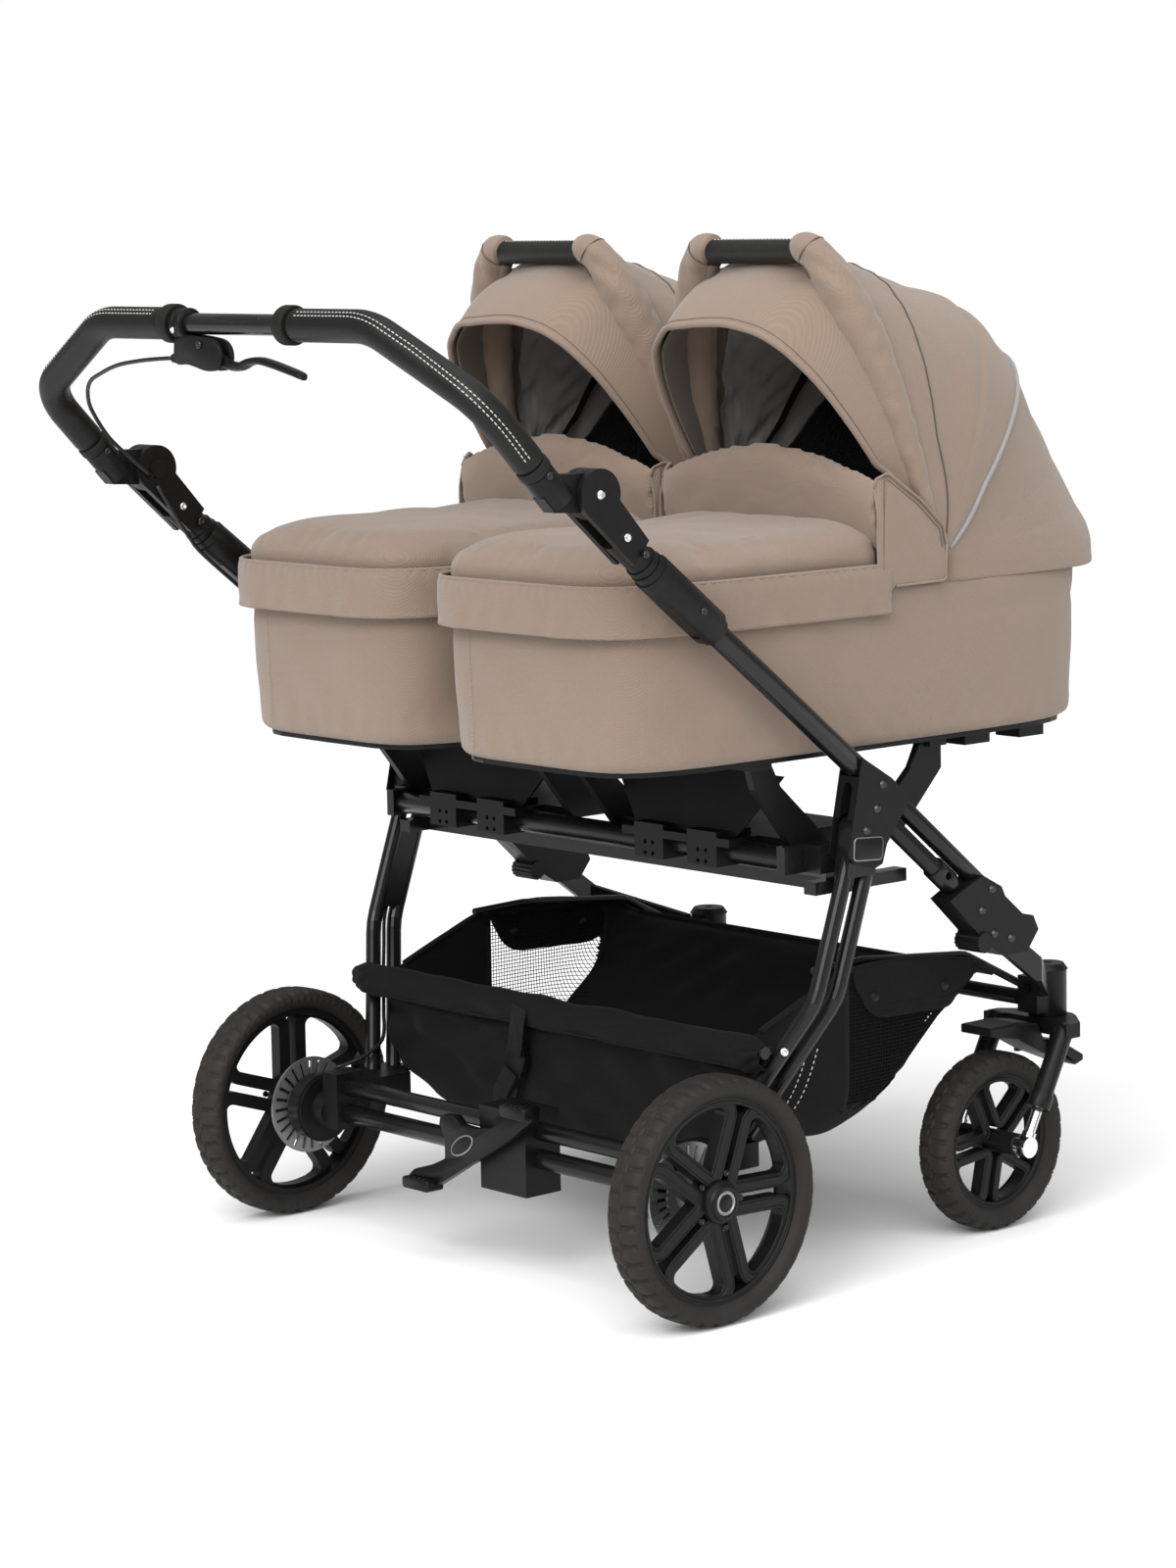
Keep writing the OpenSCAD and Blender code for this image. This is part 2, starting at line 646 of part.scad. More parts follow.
// Upper knuckles: socket for the handle arm and the tongue of the tilt joint
socket_d = 33;
socket_to = 46;
tongue_shares = [-0.3, 0.9, -0.95];
module upper_knuckles() color(black_plastic) placed() both_sides() difference() {
    a = arm_end + arm_dir * (grip_gap + seat);
    b = arm_end + arm_dir * socket_to;
    side = [0, -arm_dir[2], arm_dir[1]];
    foot = arm_end + arm_dir * tube_in;
    union() {
        rod(a, b, socket_d / 2);
        side_slab(frame_x, tongue_t - 2 * seat, [for (p = [foot + side * socket_d / 2,
            knuckle + knuckle_r * (tongue_shares[0] * arm_dir + tongue_shares[1] * side),
            knuckle + knuckle_r * tongue_shares[2] * side, b - side * socket_d / 2,
            foot - side * socket_d / 2]) [p[1], p[2]]]);
        cross_pin(frame_x - tongue_t / 2 + seat, frame_x + tongue_t / 2 - seat, knuckle_yz, knuckle_r);
    }
    rod(a - arm_dir * over, foot, handle_d / 2 + run);
    cross_pin(frame_x - plate_t, frame_x + plate_t, knuckle_yz, pin_d / 2 + run);
}

// Brake lever under the bar, with its clamp and cable adjuster
clamp_from = -90.5;
clamp_l = 20;
clamp_d = 33;
lever_below = 21;
lever_pivot = [-45, handle_z - lever_below];
lever_pin_d = 5;
lever_t = 8;
lever_w = 15;
lever_body = [58, 18, 22];
adjuster_d = 11;
adjuster_below = 36;
adjuster_z = handle_z - adjuster_below;
adjuster_l = 14;
lever_drop = 31;
lever_reach = 162;
lever_shares = [[0, 0.2], [0.45, -0.28], [0.9, -0.8], [1, -0.86], [0.98, -1.12], [0.9, -1.1], [0.45, -0.68],
    [0, -0.28]];
module lever_bracket() color(black_plastic) placed() {
    body_z = handle_z - handle_d / 2 - seat;
    ring([clamp_from, -handle_back, handle_z], [clamp_from + clamp_l, -handle_back, handle_z],
        clamp_d, handle_d + 2 * run);
    difference() {
        union() {
            box([clamp_from, -handle_back - lever_body[1] / 2, body_z - lever_body[2]],
                [clamp_from + lever_body[0], -handle_back + lever_body[1] / 2, body_z - clamp_l / 8]);
            box([clamp_from, -handle_back - adjuster_d / 2, adjuster_z - adjuster_d / 2],
                [clamp_from + clamp_l, -handle_back + adjuster_d / 2, body_z - clamp_l / 8]);
            translate([clamp_from - adjuster_l, -handle_back, adjuster_z]) rotate([0, 90, 0])
                cylinder(d = adjuster_d, h = adjuster_l);
        }
        rod([clamp_from - over, -handle_back, handle_z],
            [clamp_from + lever_body[0] + over, -handle_back, handle_z], handle_d / 2 + run);
        box([clamp_from + clamp_l + over, -handle_back - lever_t / 2 - seat, body_z - 2 * lever_body[2]],
            [clamp_from + lever_body[0] + over, -handle_back + lever_t / 2 + seat, body_z + over]);
    }
    translate([lever_pivot[0], -handle_back - lever_body[1] / 2, lever_pivot[1]]) rotate([-90, 0, 0])
        cylinder(d = lever_pin_d, h = lever_body[1]);
}
module brake_lever() color(black_plastic) placed() difference() {
    blade = scaled(lever_shares, lever_reach, lever_drop);
    translate([lever_pivot[0], -handle_back, lever_pivot[1]]) {
        rotate([90, 0, 0]) {
            translate([0, 0, -lever_t / 2]) {
                cylinder(d = lever_t + lever_pin_d, h = lever_t);
                linear_extrude(lever_t) polygon(blade);
            }
            intersection() {
                translate([0, 0, -lever_w / 2]) linear_extrude(lever_w) polygon(blade);
                translate([lever_body[1], -lever_reach, -lever_w])
                    cube([lever_reach, 2 * lever_reach, 2 * lever_w]);
            }
        }
    }
    translate([lever_pivot[0], -handle_back - lever_w, lever_pivot[1]]) rotate([-90, 0, 0])
        cylinder(d = lever_pin_d + 2 * run, h = 2 * lever_w);
}

// Brake cable: loop on the handlebar, run on the left push tube, tail on the left leg
cable_d = 4.5;
cable_sides = 8;
cable_x = frame_x - ear_out - cable_d / 2 - seat * 2;
// Route from the adjuster to the knuckle
loop_route = [[clamp_from - adjuster_l - seat, -handle_back, adjuster_z], [-140, -322, 1008],
    [-170, -320, 1005.5], [-200, -318, 1002], [-228, -313, 997], [-255, -308, 990], [-280, -301, 983.5],
    [-300, -292, 975], [-317, -281, 965], [-330, -270, 953], [-339, -257, 940], [-345, -245, 928],
    [-349, -232, 915], [-cable_x, -216, 902], [-cable_x, -200, 889], [-cable_x, -186, 878],
    [-cable_x, -174, 869]];
module cable_loop() color(nylon) placed() swept(loop_route, cable_d / 2, cable_sides, [0, 1, 0]);
// Stations [along, above, inside the frame plane] of the run
run_stations = [[505, -2.5, -frame_x + cable_x], [480, -10, -frame_x + cable_x],
    [455, -18, -frame_x + cable_x], [430, -22, -15],
    [410, -24.5, -11], [350, -25, -9], [290, -24.5, -9], [245, -20, -9], [200, -17, -9], [130, -17, -9],
    [75, -17, -9]];
run_route = [for (r = run_stations) flip(push_at(r[0], r[1]) + [r[2], 0, 0], -1)];
module cable_run() color(nylon) placed() swept(run_route, cable_d / 2, cable_sides, [1, 0, 0]);
// Route from the left leg bend to the brake housing
tail_route = [[-371, 161, 339.6], [-370, 156, 322], [-358, 145, 296], [-345, 133, 270], [-332, 122, 246],
    [-318, 110, 222], [-303, 98, 208], [-292, 84, 197], [-291, 60, 185], [-296, 40, 178], [-302, 24, 174]];
module leg_cable() color(nylon) placed() swept(tail_route, cable_d / 2, cable_sides, [1, 0, 0]);

// Rear legs: twin tubes a side on a lug that hinges in the side plate
lug_t = 20;
lug_r = 17;
lug_shares = [2.4, 0.8];
cover_z = [340, 440];
cover_t = 17;
function leg_y(z) = leg_bend[1] + (leg_top_y - leg_bend[1]) * (z - leg_bend[2]) / (leg_top_z - leg_bend[2]);
module rear_legs() color(black_metal) placed() {
    both_sides() {
        difference() {
            for (s = [-1, 1]) pipe([[frame_x, leg_top_y + s * leg_gap / 2, leg_top_z - lug_r],
                leg_bend + [0, s * leg_gap / 2, 0],
                leg_foot + [0, s * leg_gap / 2, 0] + (leg_foot - leg_bend) / 4], leg_d / 2, leg_bend_r, [1, 0, 0]);
            box([0, -leg_foot_z, 0], [frame_x, leg_foot_z * 2, leg_foot_z]);
        }
        difference() {
            union() {
                cross_pin(frame_x - lug_t / 2, frame_x + lug_t / 2, rear_pivot, lug_r);
                side_slab(frame_x, lug_t, [rear_pivot + [-lug_r, 0], rear_pivot + [lug_r, 0],
                    [leg_top_y + leg_gap / 2 - over, leg_top_z - lug_r * lug_shares[0]],
                    [leg_top_y - leg_gap / 2 - lug_r * lug_shares[1], leg_top_z - lug_r * lug_shares[0]]]);
            }
            cross_pin(frame_x - lug_t, frame_x + lug_t, rear_pivot, pin_d / 2 + run);
        }
    }
    side_slab(-frame_x, cover_t, [for (p = [[1, 0], [1, 1], [-1, 1], [-1, 0]])
        [leg_y(cover_z[p[1]]) + p[0] * leg_gap / 2, cover_z[p[1]]]]);
}

// Rear axle tubes
casting_in = [111.5, 85.5];
casting_x = [rear_x - casting_in[0], rear_x - casting_in[1]];
axle_half = casting_x[1] - 2 * over;
module rear_axle() color(black_metal) placed() {
    cross_pin(-axle_half, axle_half, [0, rear_r], axle_tube_d / 2);
    cross_pin(-axle_half, axle_half, [0, rear_r + upper_axle_up], upper_axle_d / 2);
}

// Axle castings: end clamps with a foot under each pair of legs, and the pedal housing
clamp_y = [-19, 21];
clamp_reach = 17;
foot_w = 30;
foot_depth = 54;
foot_h = 27;
link_y = [60, 90];
pedal_box_x = [14, 90];
pedal_box_y = 25;
pedal_box_z = [93, 186];
pedal_pivot = [32, 148];
pedal_pin_d = 12;
pedal_y = [-44, -26];
module axle_castings() color(black_plastic) placed() {
    difference() {
        union() {
            both_sides() {
                box([casting_x[0], clamp_y[0], rear_r - clamp_reach],
                    [casting_x[1], clamp_y[1], rear_r + upper_axle_up + clamp_reach]);
                box([casting_x[0], 0, leg_foot_z - seat - foot_h], [casting_x[1], link_y[1], leg_foot_z - seat]);
                box([leg_foot[0] - foot_w / 2, leg_foot[1] - foot_depth / 2, leg_foot_z - seat - foot_h],
                    [leg_foot[0] + foot_w / 2, leg_foot[1] + foot_depth / 2, leg_foot_z - seat]);
                box([casting_x[0], link_y[0], leg_foot_z - seat - foot_h],
                    [leg_foot[0], link_y[1], leg_foot_z - seat]);
            }
            box([pedal_box_x[0], -pedal_box_y, pedal_box_z[0]], [pedal_box_x[1], pedal_box_y, pedal_box_z[1]]);
            translate([pedal_pivot[0], pedal_y[0], pedal_pivot[1]]) rotate([-90, 0, 0])
                cylinder(d = pedal_pin_d, h = -pedal_box_y + over - pedal_y[0]);
        }
        cross_pin(-axle_half - seat, axle_half + seat, [0, rear_r], axle_tube_d / 2 + run);
        cross_pin(-axle_half - seat, axle_half + seat, [0, rear_r + upper_axle_up], upper_axle_d / 2 + run);
    }
}

// Foot pedal: a slanted bar with a pad at each end
pedal_slope = 32.6;
pedal_arms = [-112, 87];
pedal_bar_h = 24;
pedal_pad = [46, 26, 9];
pedal_hub_d = 44;
module brake_pedal() color(black_plastic) placed() translate([pedal_pivot[0], 0, pedal_pivot[1]])
    rotate([0, -pedal_slope, 0]) difference() {
        union() {
            box([pedal_arms[0], pedal_y[0], -pedal_bar_h / 2],
                [pedal_arms[1], pedal_y[1] - pedal_bar_h / 3, pedal_bar_h / 2]);
            translate([0, pedal_y[0], 0]) rotate([-90, 0, 0])
                cylinder(d = pedal_hub_d, h = pedal_y[1] - pedal_y[0] - seat);
            for (a = pedal_arms) translate([a, 0, 0]) rotate([0, pedal_slope, 0])
                box([-pedal_pad[0] / 2, pedal_y[0] - pedal_pad[1] / 2, -pedal_pad[2] / 2],
                    [pedal_pad[0] / 2, pedal_y[1] - pedal_bar_h / 3, pedal_pad[2] / 2]);
        }
        translate([0, pedal_y[0] - over, 0]) rotate([-90, 0, 0])
            cylinder(d = pedal_pin_d + 2 * run, h = pedal_bar_h);
    }

// Brake housings between the axle clamps and the wheels
neck_r = 22;
drum_r = 38;
drum_in = [67.5, 43.5];
drum_x = [rear_x - drum_in[0], rear_x - drum_in[1]];
drum_lip = 3;
module brake_housings() color(black_plastic) placed() both_sides() difference() {
    union() {
        cross_pin(casting_x[1] + seat, drum_x[0] + over, [0, rear_r], neck_r);
        cross_pin(drum_x[0], drum_x[1], [0, rear_r], drum_r);
        cross_pin(drum_x[0] + drum_lip, drum_x[0] + 2 * drum_lip, [0, rear_r], drum_r + drum_lip / 2);
    }
    cross_pin(drum_x[0] - drum_lip * 2, drum_x[1] + over, [0, rear_r], rear_axle_d / 2 + run);
}

// Rail that carries the rear hem of the basket, clipped to the legs
hem_rail = [92, 272];
hem_rail_d = 14;
hem_half = 345;
clip_w = 14;
module basket_rail() color(black_metal) placed() {
    drop = leg_bend[2] - hem_rail[1];
    leg_x = leg_bend[0] - leg_in_share * drop;
    leg_back = leg_bend[1] - leg_back_share * drop - leg_gap / 2 - leg_d / 2;
    cross_pin(-hem_half, hem_half, hem_rail, hem_rail_d / 2);
    both_sides() box([leg_x - clip_w, hem_rail[0], hem_rail[1] - clip_w / 4],
        [leg_x - clip_w / 4, leg_back - over, hem_rail[1] + clip_w / 4]);
}

// Basket: one sheet bag through stations of [y, rim height, depth, squareness]
basket_stations = [[102, 273, 0, 4.5], [103.5, 273, 54, 4.5], [105, 274, 108, 4.5], [108, 276, 140, 4.5],
    [128, 284, 152, 4.5], [190, 308, 160, 6], [256, 330, 186, 8], [325, 333, 168, 8], [367, 330, 136, 7],
    [406, 325, 94, 6], [440, 320, 55, 5], [470, 313, 22, 4], [490, 298, 0, 3]];
basket_ends = [4, 7];
basket_cols = 16;
basket_last = len(basket_stations) - 1;
// 1 at the rear hem, 0 along the floor, -1 at the front hem
function basket_lean(k) = k < basket_ends[0] ? 1 - k / basket_ends[0]
    : k > basket_ends[1] ? (basket_ends[1] - k) / (basket_last - basket_ends[1]) : 0;
function basket_grid(grow) = [for (k = [0:basket_last]) let (s = basket_stations[k], lean = basket_lean(k),
    d = max(0, s[2] - grow * (1 - abs(lean))))
    [for (j = [0:basket_cols]) let (a = -90 + 180 * j / basket_cols)
        [(basket_w / 2 - grow) * sign(sin(a)) * pow(abs(sin(a)), 2 / s[3]), s[0] + grow * lean,
            s[1] - d * pow(cos(a), 2 / s[3])]]];
module basket() color(nylon) placed() sheet(basket_grid(0), basket_grid(basket_t));

// Wheels, drawn round the X axis at the origin
tyre_shares = [[0.62, 0], [0.9, 0.22], [1, 0.5], [0.94, 0.78], [0.7, 0.95], [0.36, 1]];
tread_blocks = 34;
tread_depth = 2.4;
tread_w = 3.2;
tread_shares = [0.3, 0.26];
module tyre(d, w, rim_d) {
    r0 = rim_d / 2 + run;
    half = [for (p = tyre_shares) [r0 + p[1] * (d / 2 - r0), p[0] * w / 2]];
    rotate([0, 90, 0]) difference() {
        rotate_extrude($fn = 72)
            polygon(concat(half, [for (i = [len(half) - 1:-1:0]) [half[i][0], -half[i][1]]]));
        for (i = [0:tread_blocks - 1]) for (s = [-1, 1]) rotate(360 * (i + (s + 1) / 4) / tread_blocks)
            translate([d / 2 - tread_depth, -tread_w / 2, w * (s * tread_shares[0] - tread_shares[1] / 2)])
                cube([tread_depth * 2, tread_w, w * tread_shares[1]]);
    }
}

rim_wall = 5;
lip_h = 4;
web_t = 13;
module rim(rim_d, tyre_w, spoke_w, hub_d, hub_l, bore) {
    lip_w = tyre_w * tyre_shares[0][0] - seat;
    reach = rim_d / 2 - rim_wall / 2;
    root = spoke_w / 2 / sin(180 / spokes);
    slot_from = max(root, hub_d / 2) + over;
    slot_to = rim_d / 2 - rim_wall - lip_h;
    star = [for (i = [0:spokes - 1]) let (a = 360 * i / spokes, d = [cos(a), sin(a)], t = [-sin(a), cos(a)],
        h = a + 180 / spokes) each [reach * d - spoke_w / 2 * t, reach * d + spoke_w / 2 * t,
            root * [cos(h), sin(h)]]];
    rotate([0, 90, 0]) difference() {
        union() {
            rotate_extrude($fn = 72) polygon([[rim_d / 2 - rim_wall - lip_h / 2, -lip_w / 2],
                [rim_d / 2, -lip_w / 2], [rim_d / 2, lip_w / 2], [rim_d / 2 - rim_wall - lip_h / 2, lip_w / 2],
                [rim_d / 2 - rim_wall, lip_w / 2 - lip_h], [rim_d / 2 - rim_wall, -lip_w / 2 + lip_h]]);
            translate([0, 0, -web_t / 2]) linear_extrude(web_t) polygon(star);
            translate([0, 0, -hub_l / 2]) cylinder(d = hub_d, h = hub_l);
        }
        translate([0, 0, -hub_l]) cylinder(d = bore + 2 * run, h = 2 * hub_l);
        for (i = [0:spokes - 1]) rotate(360 * i / spokes)
            box([slot_from, -spoke_slot_w / 2, -web_t], [slot_to, spoke_slot_w / 2, web_t]);
    }
}

rear_hub_d = 46;
rear_hub_l = 30;
hub_cap_d = 35;
hub_cap_h = 6;
disc_d = 112;
disc_t = 3;
disc_slots = 24;
disc_slot = [22, 4];
disc_in = 38.5;
disc_x = rear_x - disc_in;
module rear_wheel_at() translate([rear_x, 0, rear_r]) children();
module rear_hub() {
    cap_x = rear_x + rear_hub_l / 2 + run;
    cross_pin(drum_x[0] - drum_lip, cap_x + over, [0, rear_r], rear_axle_d / 2);
    translate([cap_x, 0, rear_r]) rotate([0, 90, 0])
        cylinder(d1 = hub_cap_d, d2 = hub_cap_d - hub_cap_h, h = hub_cap_h);
    cross_pin(disc_x + disc_t, rear_x - rear_hub_l / 2 - run, [0, rear_r], hub_cap_d / 2);
    translate([disc_x, 0, rear_r]) rotate([0, 90, 0]) difference() {
        cylinder(d = disc_d, h = disc_t);
        for (i = [0:disc_slots - 1]) rotate(360 * i / disc_slots)
            translate([disc_d / 2 - disc_slot[0] - lip_h, -disc_slot[1] / 2, -over])
                cube([disc_slot[0], disc_slot[1], disc_t + 2 * over]);
    }
}
module rear_rim(turn) rear_wheel_at() rotate([turn, 0, 0])
    rim(rear_rim_d, rear_tyre_w, rear_spoke_w, rear_hub_d, rear_hub_l, rear_axle_d);
module rear_tyre() rear_wheel_at() tyre(rear_wheel_d, rear_tyre_w, rear_rim_d);
module rear_tyre_right() color(rubber) placed() rear_tyre();
module rear_tyre_left() color(rubber) placed() mirror([1, 0, 0]) rear_tyre();
module rear_rim_right() color(black_plastic) placed() rear_rim(rear_turn_right);
module rear_rim_left() color(black_plastic) placed() mirror([1, 0, 0]) rear_rim(rear_turn_left);
module rear_hub_right() color(bright) placed() rear_hub();
module rear_hub_left() color(bright) placed() mirror([1, 0, 0]) rear_hub();

// Front forks, drawn at the swivel axis on the right
fork_half = 52;
fork_top = [-trail + 69, 231];
fork_foot = [-trail, front_r];
fork_dir = unit([0, fork_top[0] - fork_foot[0], fork_top[1] - fork_foot[1]]);
fork_sleeve_d = 23;
fork_sleeve_from = 46;
fork_bore_to = 118;
slider_rod_d = 12;
slider_top = 104;
slider_clamp_d = 24;
slider_clamp_t = 17;
crown_z = [217, housing_z[0] - seat];
crown_shares = [[0, 0.5], [0.3, 0.47], [0.5, 0.3], [1, -0.35], [1, -0.88], [0.66, -0.9], [0.58, -0.68],
    [0, -0.68]];
crown_depth = 44;
lock_pivot = [-14, 201];
lock_pin_d = 6;
lock_half = 24;
lug_w = 6;
lug_size = [20, 28];
function fork_at(s) = [0, fork_foot[0], fork_foot[1]] + s * fork_dir;
fork_l = norm(fork_top - fork_foot);
module swivel_at() translate([swivel_x, swivel_y, 0]) children();
module fork() swivel_at() {
    half = [for (p = crown_shares) [p[0] * (fork_half + fork_sleeve_d / 2), p[1] * crown_depth]];
    translate([0, 0, crown_z[0]]) {
        linear_extrude(crown_z[1] - crown_z[0])
            polygon(concat(half, [for (i = [len(half) - 1:-1:0]) [-half[i][0], half[i][1]]]));
        cylinder(d = stem_d, h = stem_top - crown_z[0]);
    }
    for (s = [-1, 1]) difference() {
        union() {
            translate([s * fork_half, 0, 0]) {
                rod(fork_at(fork_sleeve_from), fork_at(fork_l), fork_sleeve_d / 2);
                rod(fork_at(fork_sleeve_from), fork_at(fork_sleeve_from + slider_clamp_t),
                    fork_sleeve_d / 2 + lip_h / 2);
            }
            translate([s * (lock_half + seat + lug_w / 2), lock_pivot[0], crown_z[0]])
                box([-lug_w / 2, -lug_size[0] / 2, -lug_size[1]], [lug_w / 2, lug_size[0] / 2, over]);
        }
        translate([s * fork_half, 0, 0]) rod(fork_at(0), fork_at(fork_bore_to), slider_rod_d / 2 + run);
    }
    cross_pin(-lock_half - lug_w, lock_half + lug_w, lock_pivot, lock_pin_d / 2);
}
module slider() swivel_at() {
    for (s = [-1, 1]) translate([s * fork_half, 0, 0]) {
        rod(fork_at(0), fork_at(slider_top), slider_rod_d / 2);
        cross_pin(-slider_clamp_t / 2, slider_clamp_t / 2, fork_foot, slider_clamp_d / 2);
        rod(fork_at(0), fork_at(slider_clamp_t), slider_rod_d / 2 + lip_h / 2);
    }
    cross_pin(-fork_half, fork_half, fork_foot, front_axle_d / 2);
}
front_hub_d = 26;
module front_at_axle() translate([swivel_x, wheelbase, front_r]) children();
front_hub_l = 2 * (fork_half - slider_clamp_t / 2 - seat);
module front_rim() front_at_axle() rotate([front_turn, 0, 0])
    rim(front_rim_d, front_tyre_w, front_spoke_w, front_hub_d, front_hub_l, front_axle_d);
module front_tyre() front_at_axle() tyre(front_wheel_d, front_tyre_w, front_rim_d);
module fork_right() color(black_plastic) placed() fork();
module fork_left() color(black_plastic) placed() mirror([1, 0, 0]) fork();
module slider_right() color(bright) placed() slider();
module slider_left() color(bright) placed() mirror([1, 0, 0]) slider();
module front_tyre_right() color(rubber) placed() front_tyre();
module front_tyre_left() color(rubber) placed() mirror([1, 0, 0]) front_tyre();
module front_rim_right() color(black_plastic) placed() front_rim();
module front_rim_left() color(black_plastic) placed() mirror([1, 0, 0]) front_rim();

// Swivel lock rockers between the fork legs
lock_outline = [[-120, 236], [-120, 226], [-72, 216], [-30, 194], [22, 173], [35, 177], [35, 184],
    [-6, 207], [-31, 211], [-42, 231], [-75, 236]];
module swivel_lock() swivel_at() difference() {
    side_slab(0, 2 * lock_half, lock_outline);
    cross_pin(-frame_x, frame_x, lock_pivot, lock_pin_d / 2 + run);
}
module swivel_lock_right() color(black_plastic) placed() swivel_lock();
module swivel_lock_left() color(black_plastic) placed() mirror([1, 0, 0]) swivel_lock();

// Carrycots, drawn at their own middle on the ground plane
base_z = [575.3, 580];
tub_n = 5.7;
tub_sides = 36;
tub_floor = 9;
tub_z0 = base_z[1] + run;
tub_top = tub_z0 + tub_h;
tub_flare = 2;
pivot_z = 775;
stay_t = 4;
stay_x = tub_w / 2 - tub_wall - 2 * seat - stay_t;
stay_w = 24;
hinge_pin_d = 9;
module at_cot(side) placed() translate([side * cot_x, cot_y, 0]) children();
module tub() difference() {
    hw = tub_w / 2;
    hl = tub_l / 2;
    loft([[tub_z0, hw - tub_floor, hl - tub_floor],
        [tub_z0 + tub_floor / 2, hw - tub_floor / 4, hl - tub_floor / 4],
        [tub_z0 + tub_floor * 2, hw, hl],
        [tub_z0 + tub_h / 2, hw + tub_flare / 2, hl + tub_flare],
        [tub_top, hw + tub_flare, hl + tub_flare * 3]], tub_n, tub_sides);
    loft([[tub_z0 + tub_floor, hw - tub_wall, hl - tub_wall], [tub_top + over, hw - tub_wall, hl - tub_wall]],
        tub_n, tub_sides);
    for (s = [-1, 1]) translate([s * (stay_x + stay_t / 2), pivot_y, tub_z0])
        box([-stay_t / 2 - seat, -stay_w / 2 - seat, -over],
            [stay_t / 2 + seat, stay_w / 2 + seat, 2 * tub_floor]);
}
foot_at = [176, 264];
foot_size = [36, 40, 12];
foot_x = 125;
module cot_base() {
    hw = tub_w / 2 - tub_floor;
    hl = tub_l / 2 - tub_floor;
    translate([0, 0, base_z[0]]) linear_extrude(base_z[1] - base_z[0])
        polygon([for (i = [0:tub_sides - 1]) superellipse(360 * i / tub_sides, hw, hl, tub_n)]);
    for (s = [-1, 1]) {
        stay_mid = s * (stay_x + stay_t / 2);
        for (y = foot_at) translate([s * foot_x, y, base_z[0]])
            box([-foot_size[0] / 2, -foot_size[1] / 2, -foot_size[2]],
                [foot_size[0] / 2, foot_size[1] / 2, run]);
        difference() {
            union() {
                box([stay_mid - stay_t / 2, pivot_y - stay_w / 2, base_z[1] - run],
                    [stay_mid + stay_t / 2, pivot_y + stay_w / 2, pivot_z]);
                cross_pin(stay_mid - stay_t / 2, stay_mid + stay_t / 2, [pivot_y, pivot_z], stay_w / 2);
            }
            cross_pin(-tub_w, tub_w, [pivot_y, pivot_z], hinge_pin_d / 2 + run);
        }
    }
}

// Apron over the foot half, its raised wind guard and its side tabs
apron_t = 4;
apron_edge = 12;
apron_z = [722, 760, 785, 799, 806, 809];
apron_in = [0, 0, 1, 9, 31, 71];
guard_rows = 4;
guard_cols = 12;
guard_base_z = 786;
guard_side_z = 848;
guard_mid_z = 908;
guard_lean = 16;
guard_t = 9;
guard_thin_share = 0.35;
tab_t = 2;
tab_outline = [[-6, 722], [-8, 872], [10, 872], [60, 840], [94, 812], [98, 790], [94, 752], [20, 752]];
module apron() {
    hw = apron_w / 2;
    hl = apron_l / 2;
    n = len(apron_z);
    difference() {
        loft([for (i = [0:n - 1]) [apron_z[i], hw - apron_in[i], hl - apron_in[i]]], tub_n, tub_sides);
        loft(concat([[apron_z[0] - over, hw - apron_t, hl - apron_t]], [for (i = [0:n - 1])
            [apron_z[i] - apron_t, hw - apron_t - apron_in[i], hl - apron_t - apron_in[i]]]), tub_n, tub_sides);
        box([-apron_w, apron_edge, 0], [apron_w, apron_l, guard_mid_z]);
    }
    sheet(guard_grid(0), guard_grid(guard_t));
    for (s = [-1, 1]) side_slab(s * (hw - tab_t / 2), tab_t, tab_outline);
}
function guard_grid(back) = [for (k = [0:guard_rows]) [for (j = [0:guard_cols])
    let (u = 2 * j / guard_cols - 1, x = u * (apron_w / 2 - tab_t), v = k / guard_rows,
        top = guard_side_z + (guard_mid_z - guard_side_z) * (1 - u * u),
        crown = 1 - pow(abs(2 * v - 1), 3))
        [x, apron_edge - guard_lean * v - back * (guard_thin_share + (1 - guard_thin_share) * crown),
            guard_base_z + (top - guard_base_z) * v]]];

mattress_z = [tub_z0 + tub_floor + seat, 640];
mattress_gap = 6;
mattress_crown = 8;
pillow_shares = [[0.86, 0.93], [0.5, 0.7]];
module mattress() {
    hw = tub_w / 2 - tub_wall - stay_t - mattress_gap;
    hl = tub_l / 2 - tub_wall - mattress_gap;
    loft([[mattress_z[0], hw - mattress_crown, hl - mattress_crown],
        [mattress_z[0] + mattress_crown, hw, hl],
        [mattress_z[1] - 2 * mattress_crown, hw, hl],
        [mattress_z[1] - mattress_crown, hw - mattress_crown / 2, hl - mattress_crown / 2],
        [mattress_z[1] - mattress_crown / 4, hw * pillow_shares[0][0], hl * pillow_shares[0][1]],
        [mattress_z[1], hw * pillow_shares[1][0], hl * pillow_shares[1][1]]], tub_n, tub_sides);
}

// Hood: fan surfaces round the pivot line, half width and radius by angle from straight ahead
hood_n = 2.7;
hood_cols = 20;
hood_root = 24;
rear_rows = 10;
rear_angles = [-4, 57];
front_rows = 7;
front_angles = [54, 107];
visor_rows = 3;
visor_turn = 19.5;
visor_root = 130;
visor_end = [0.88, 0.905, 3.1];
hood_half = apron_w / 2 - tab_t - 2 * seat;
rear_half = hood_half - hood_t - 3 * seat;
rear_table = [[-4, 0.889], [2, 0.917], [12, 0.872], [22, 0.846], [34, 0.828], [46, 0.852], [57, 0.872]];
front_table = [[54, 0.886], [60, 0.886], [75, 0.88], [88, 0.884], [98, 0.955], [104, 1.012],
    [107, 1.012]];
rear_n_table = [[-4, 4.5], [2, 3.7], [8, 3.1], [20, hood_n], [57, hood_n]];
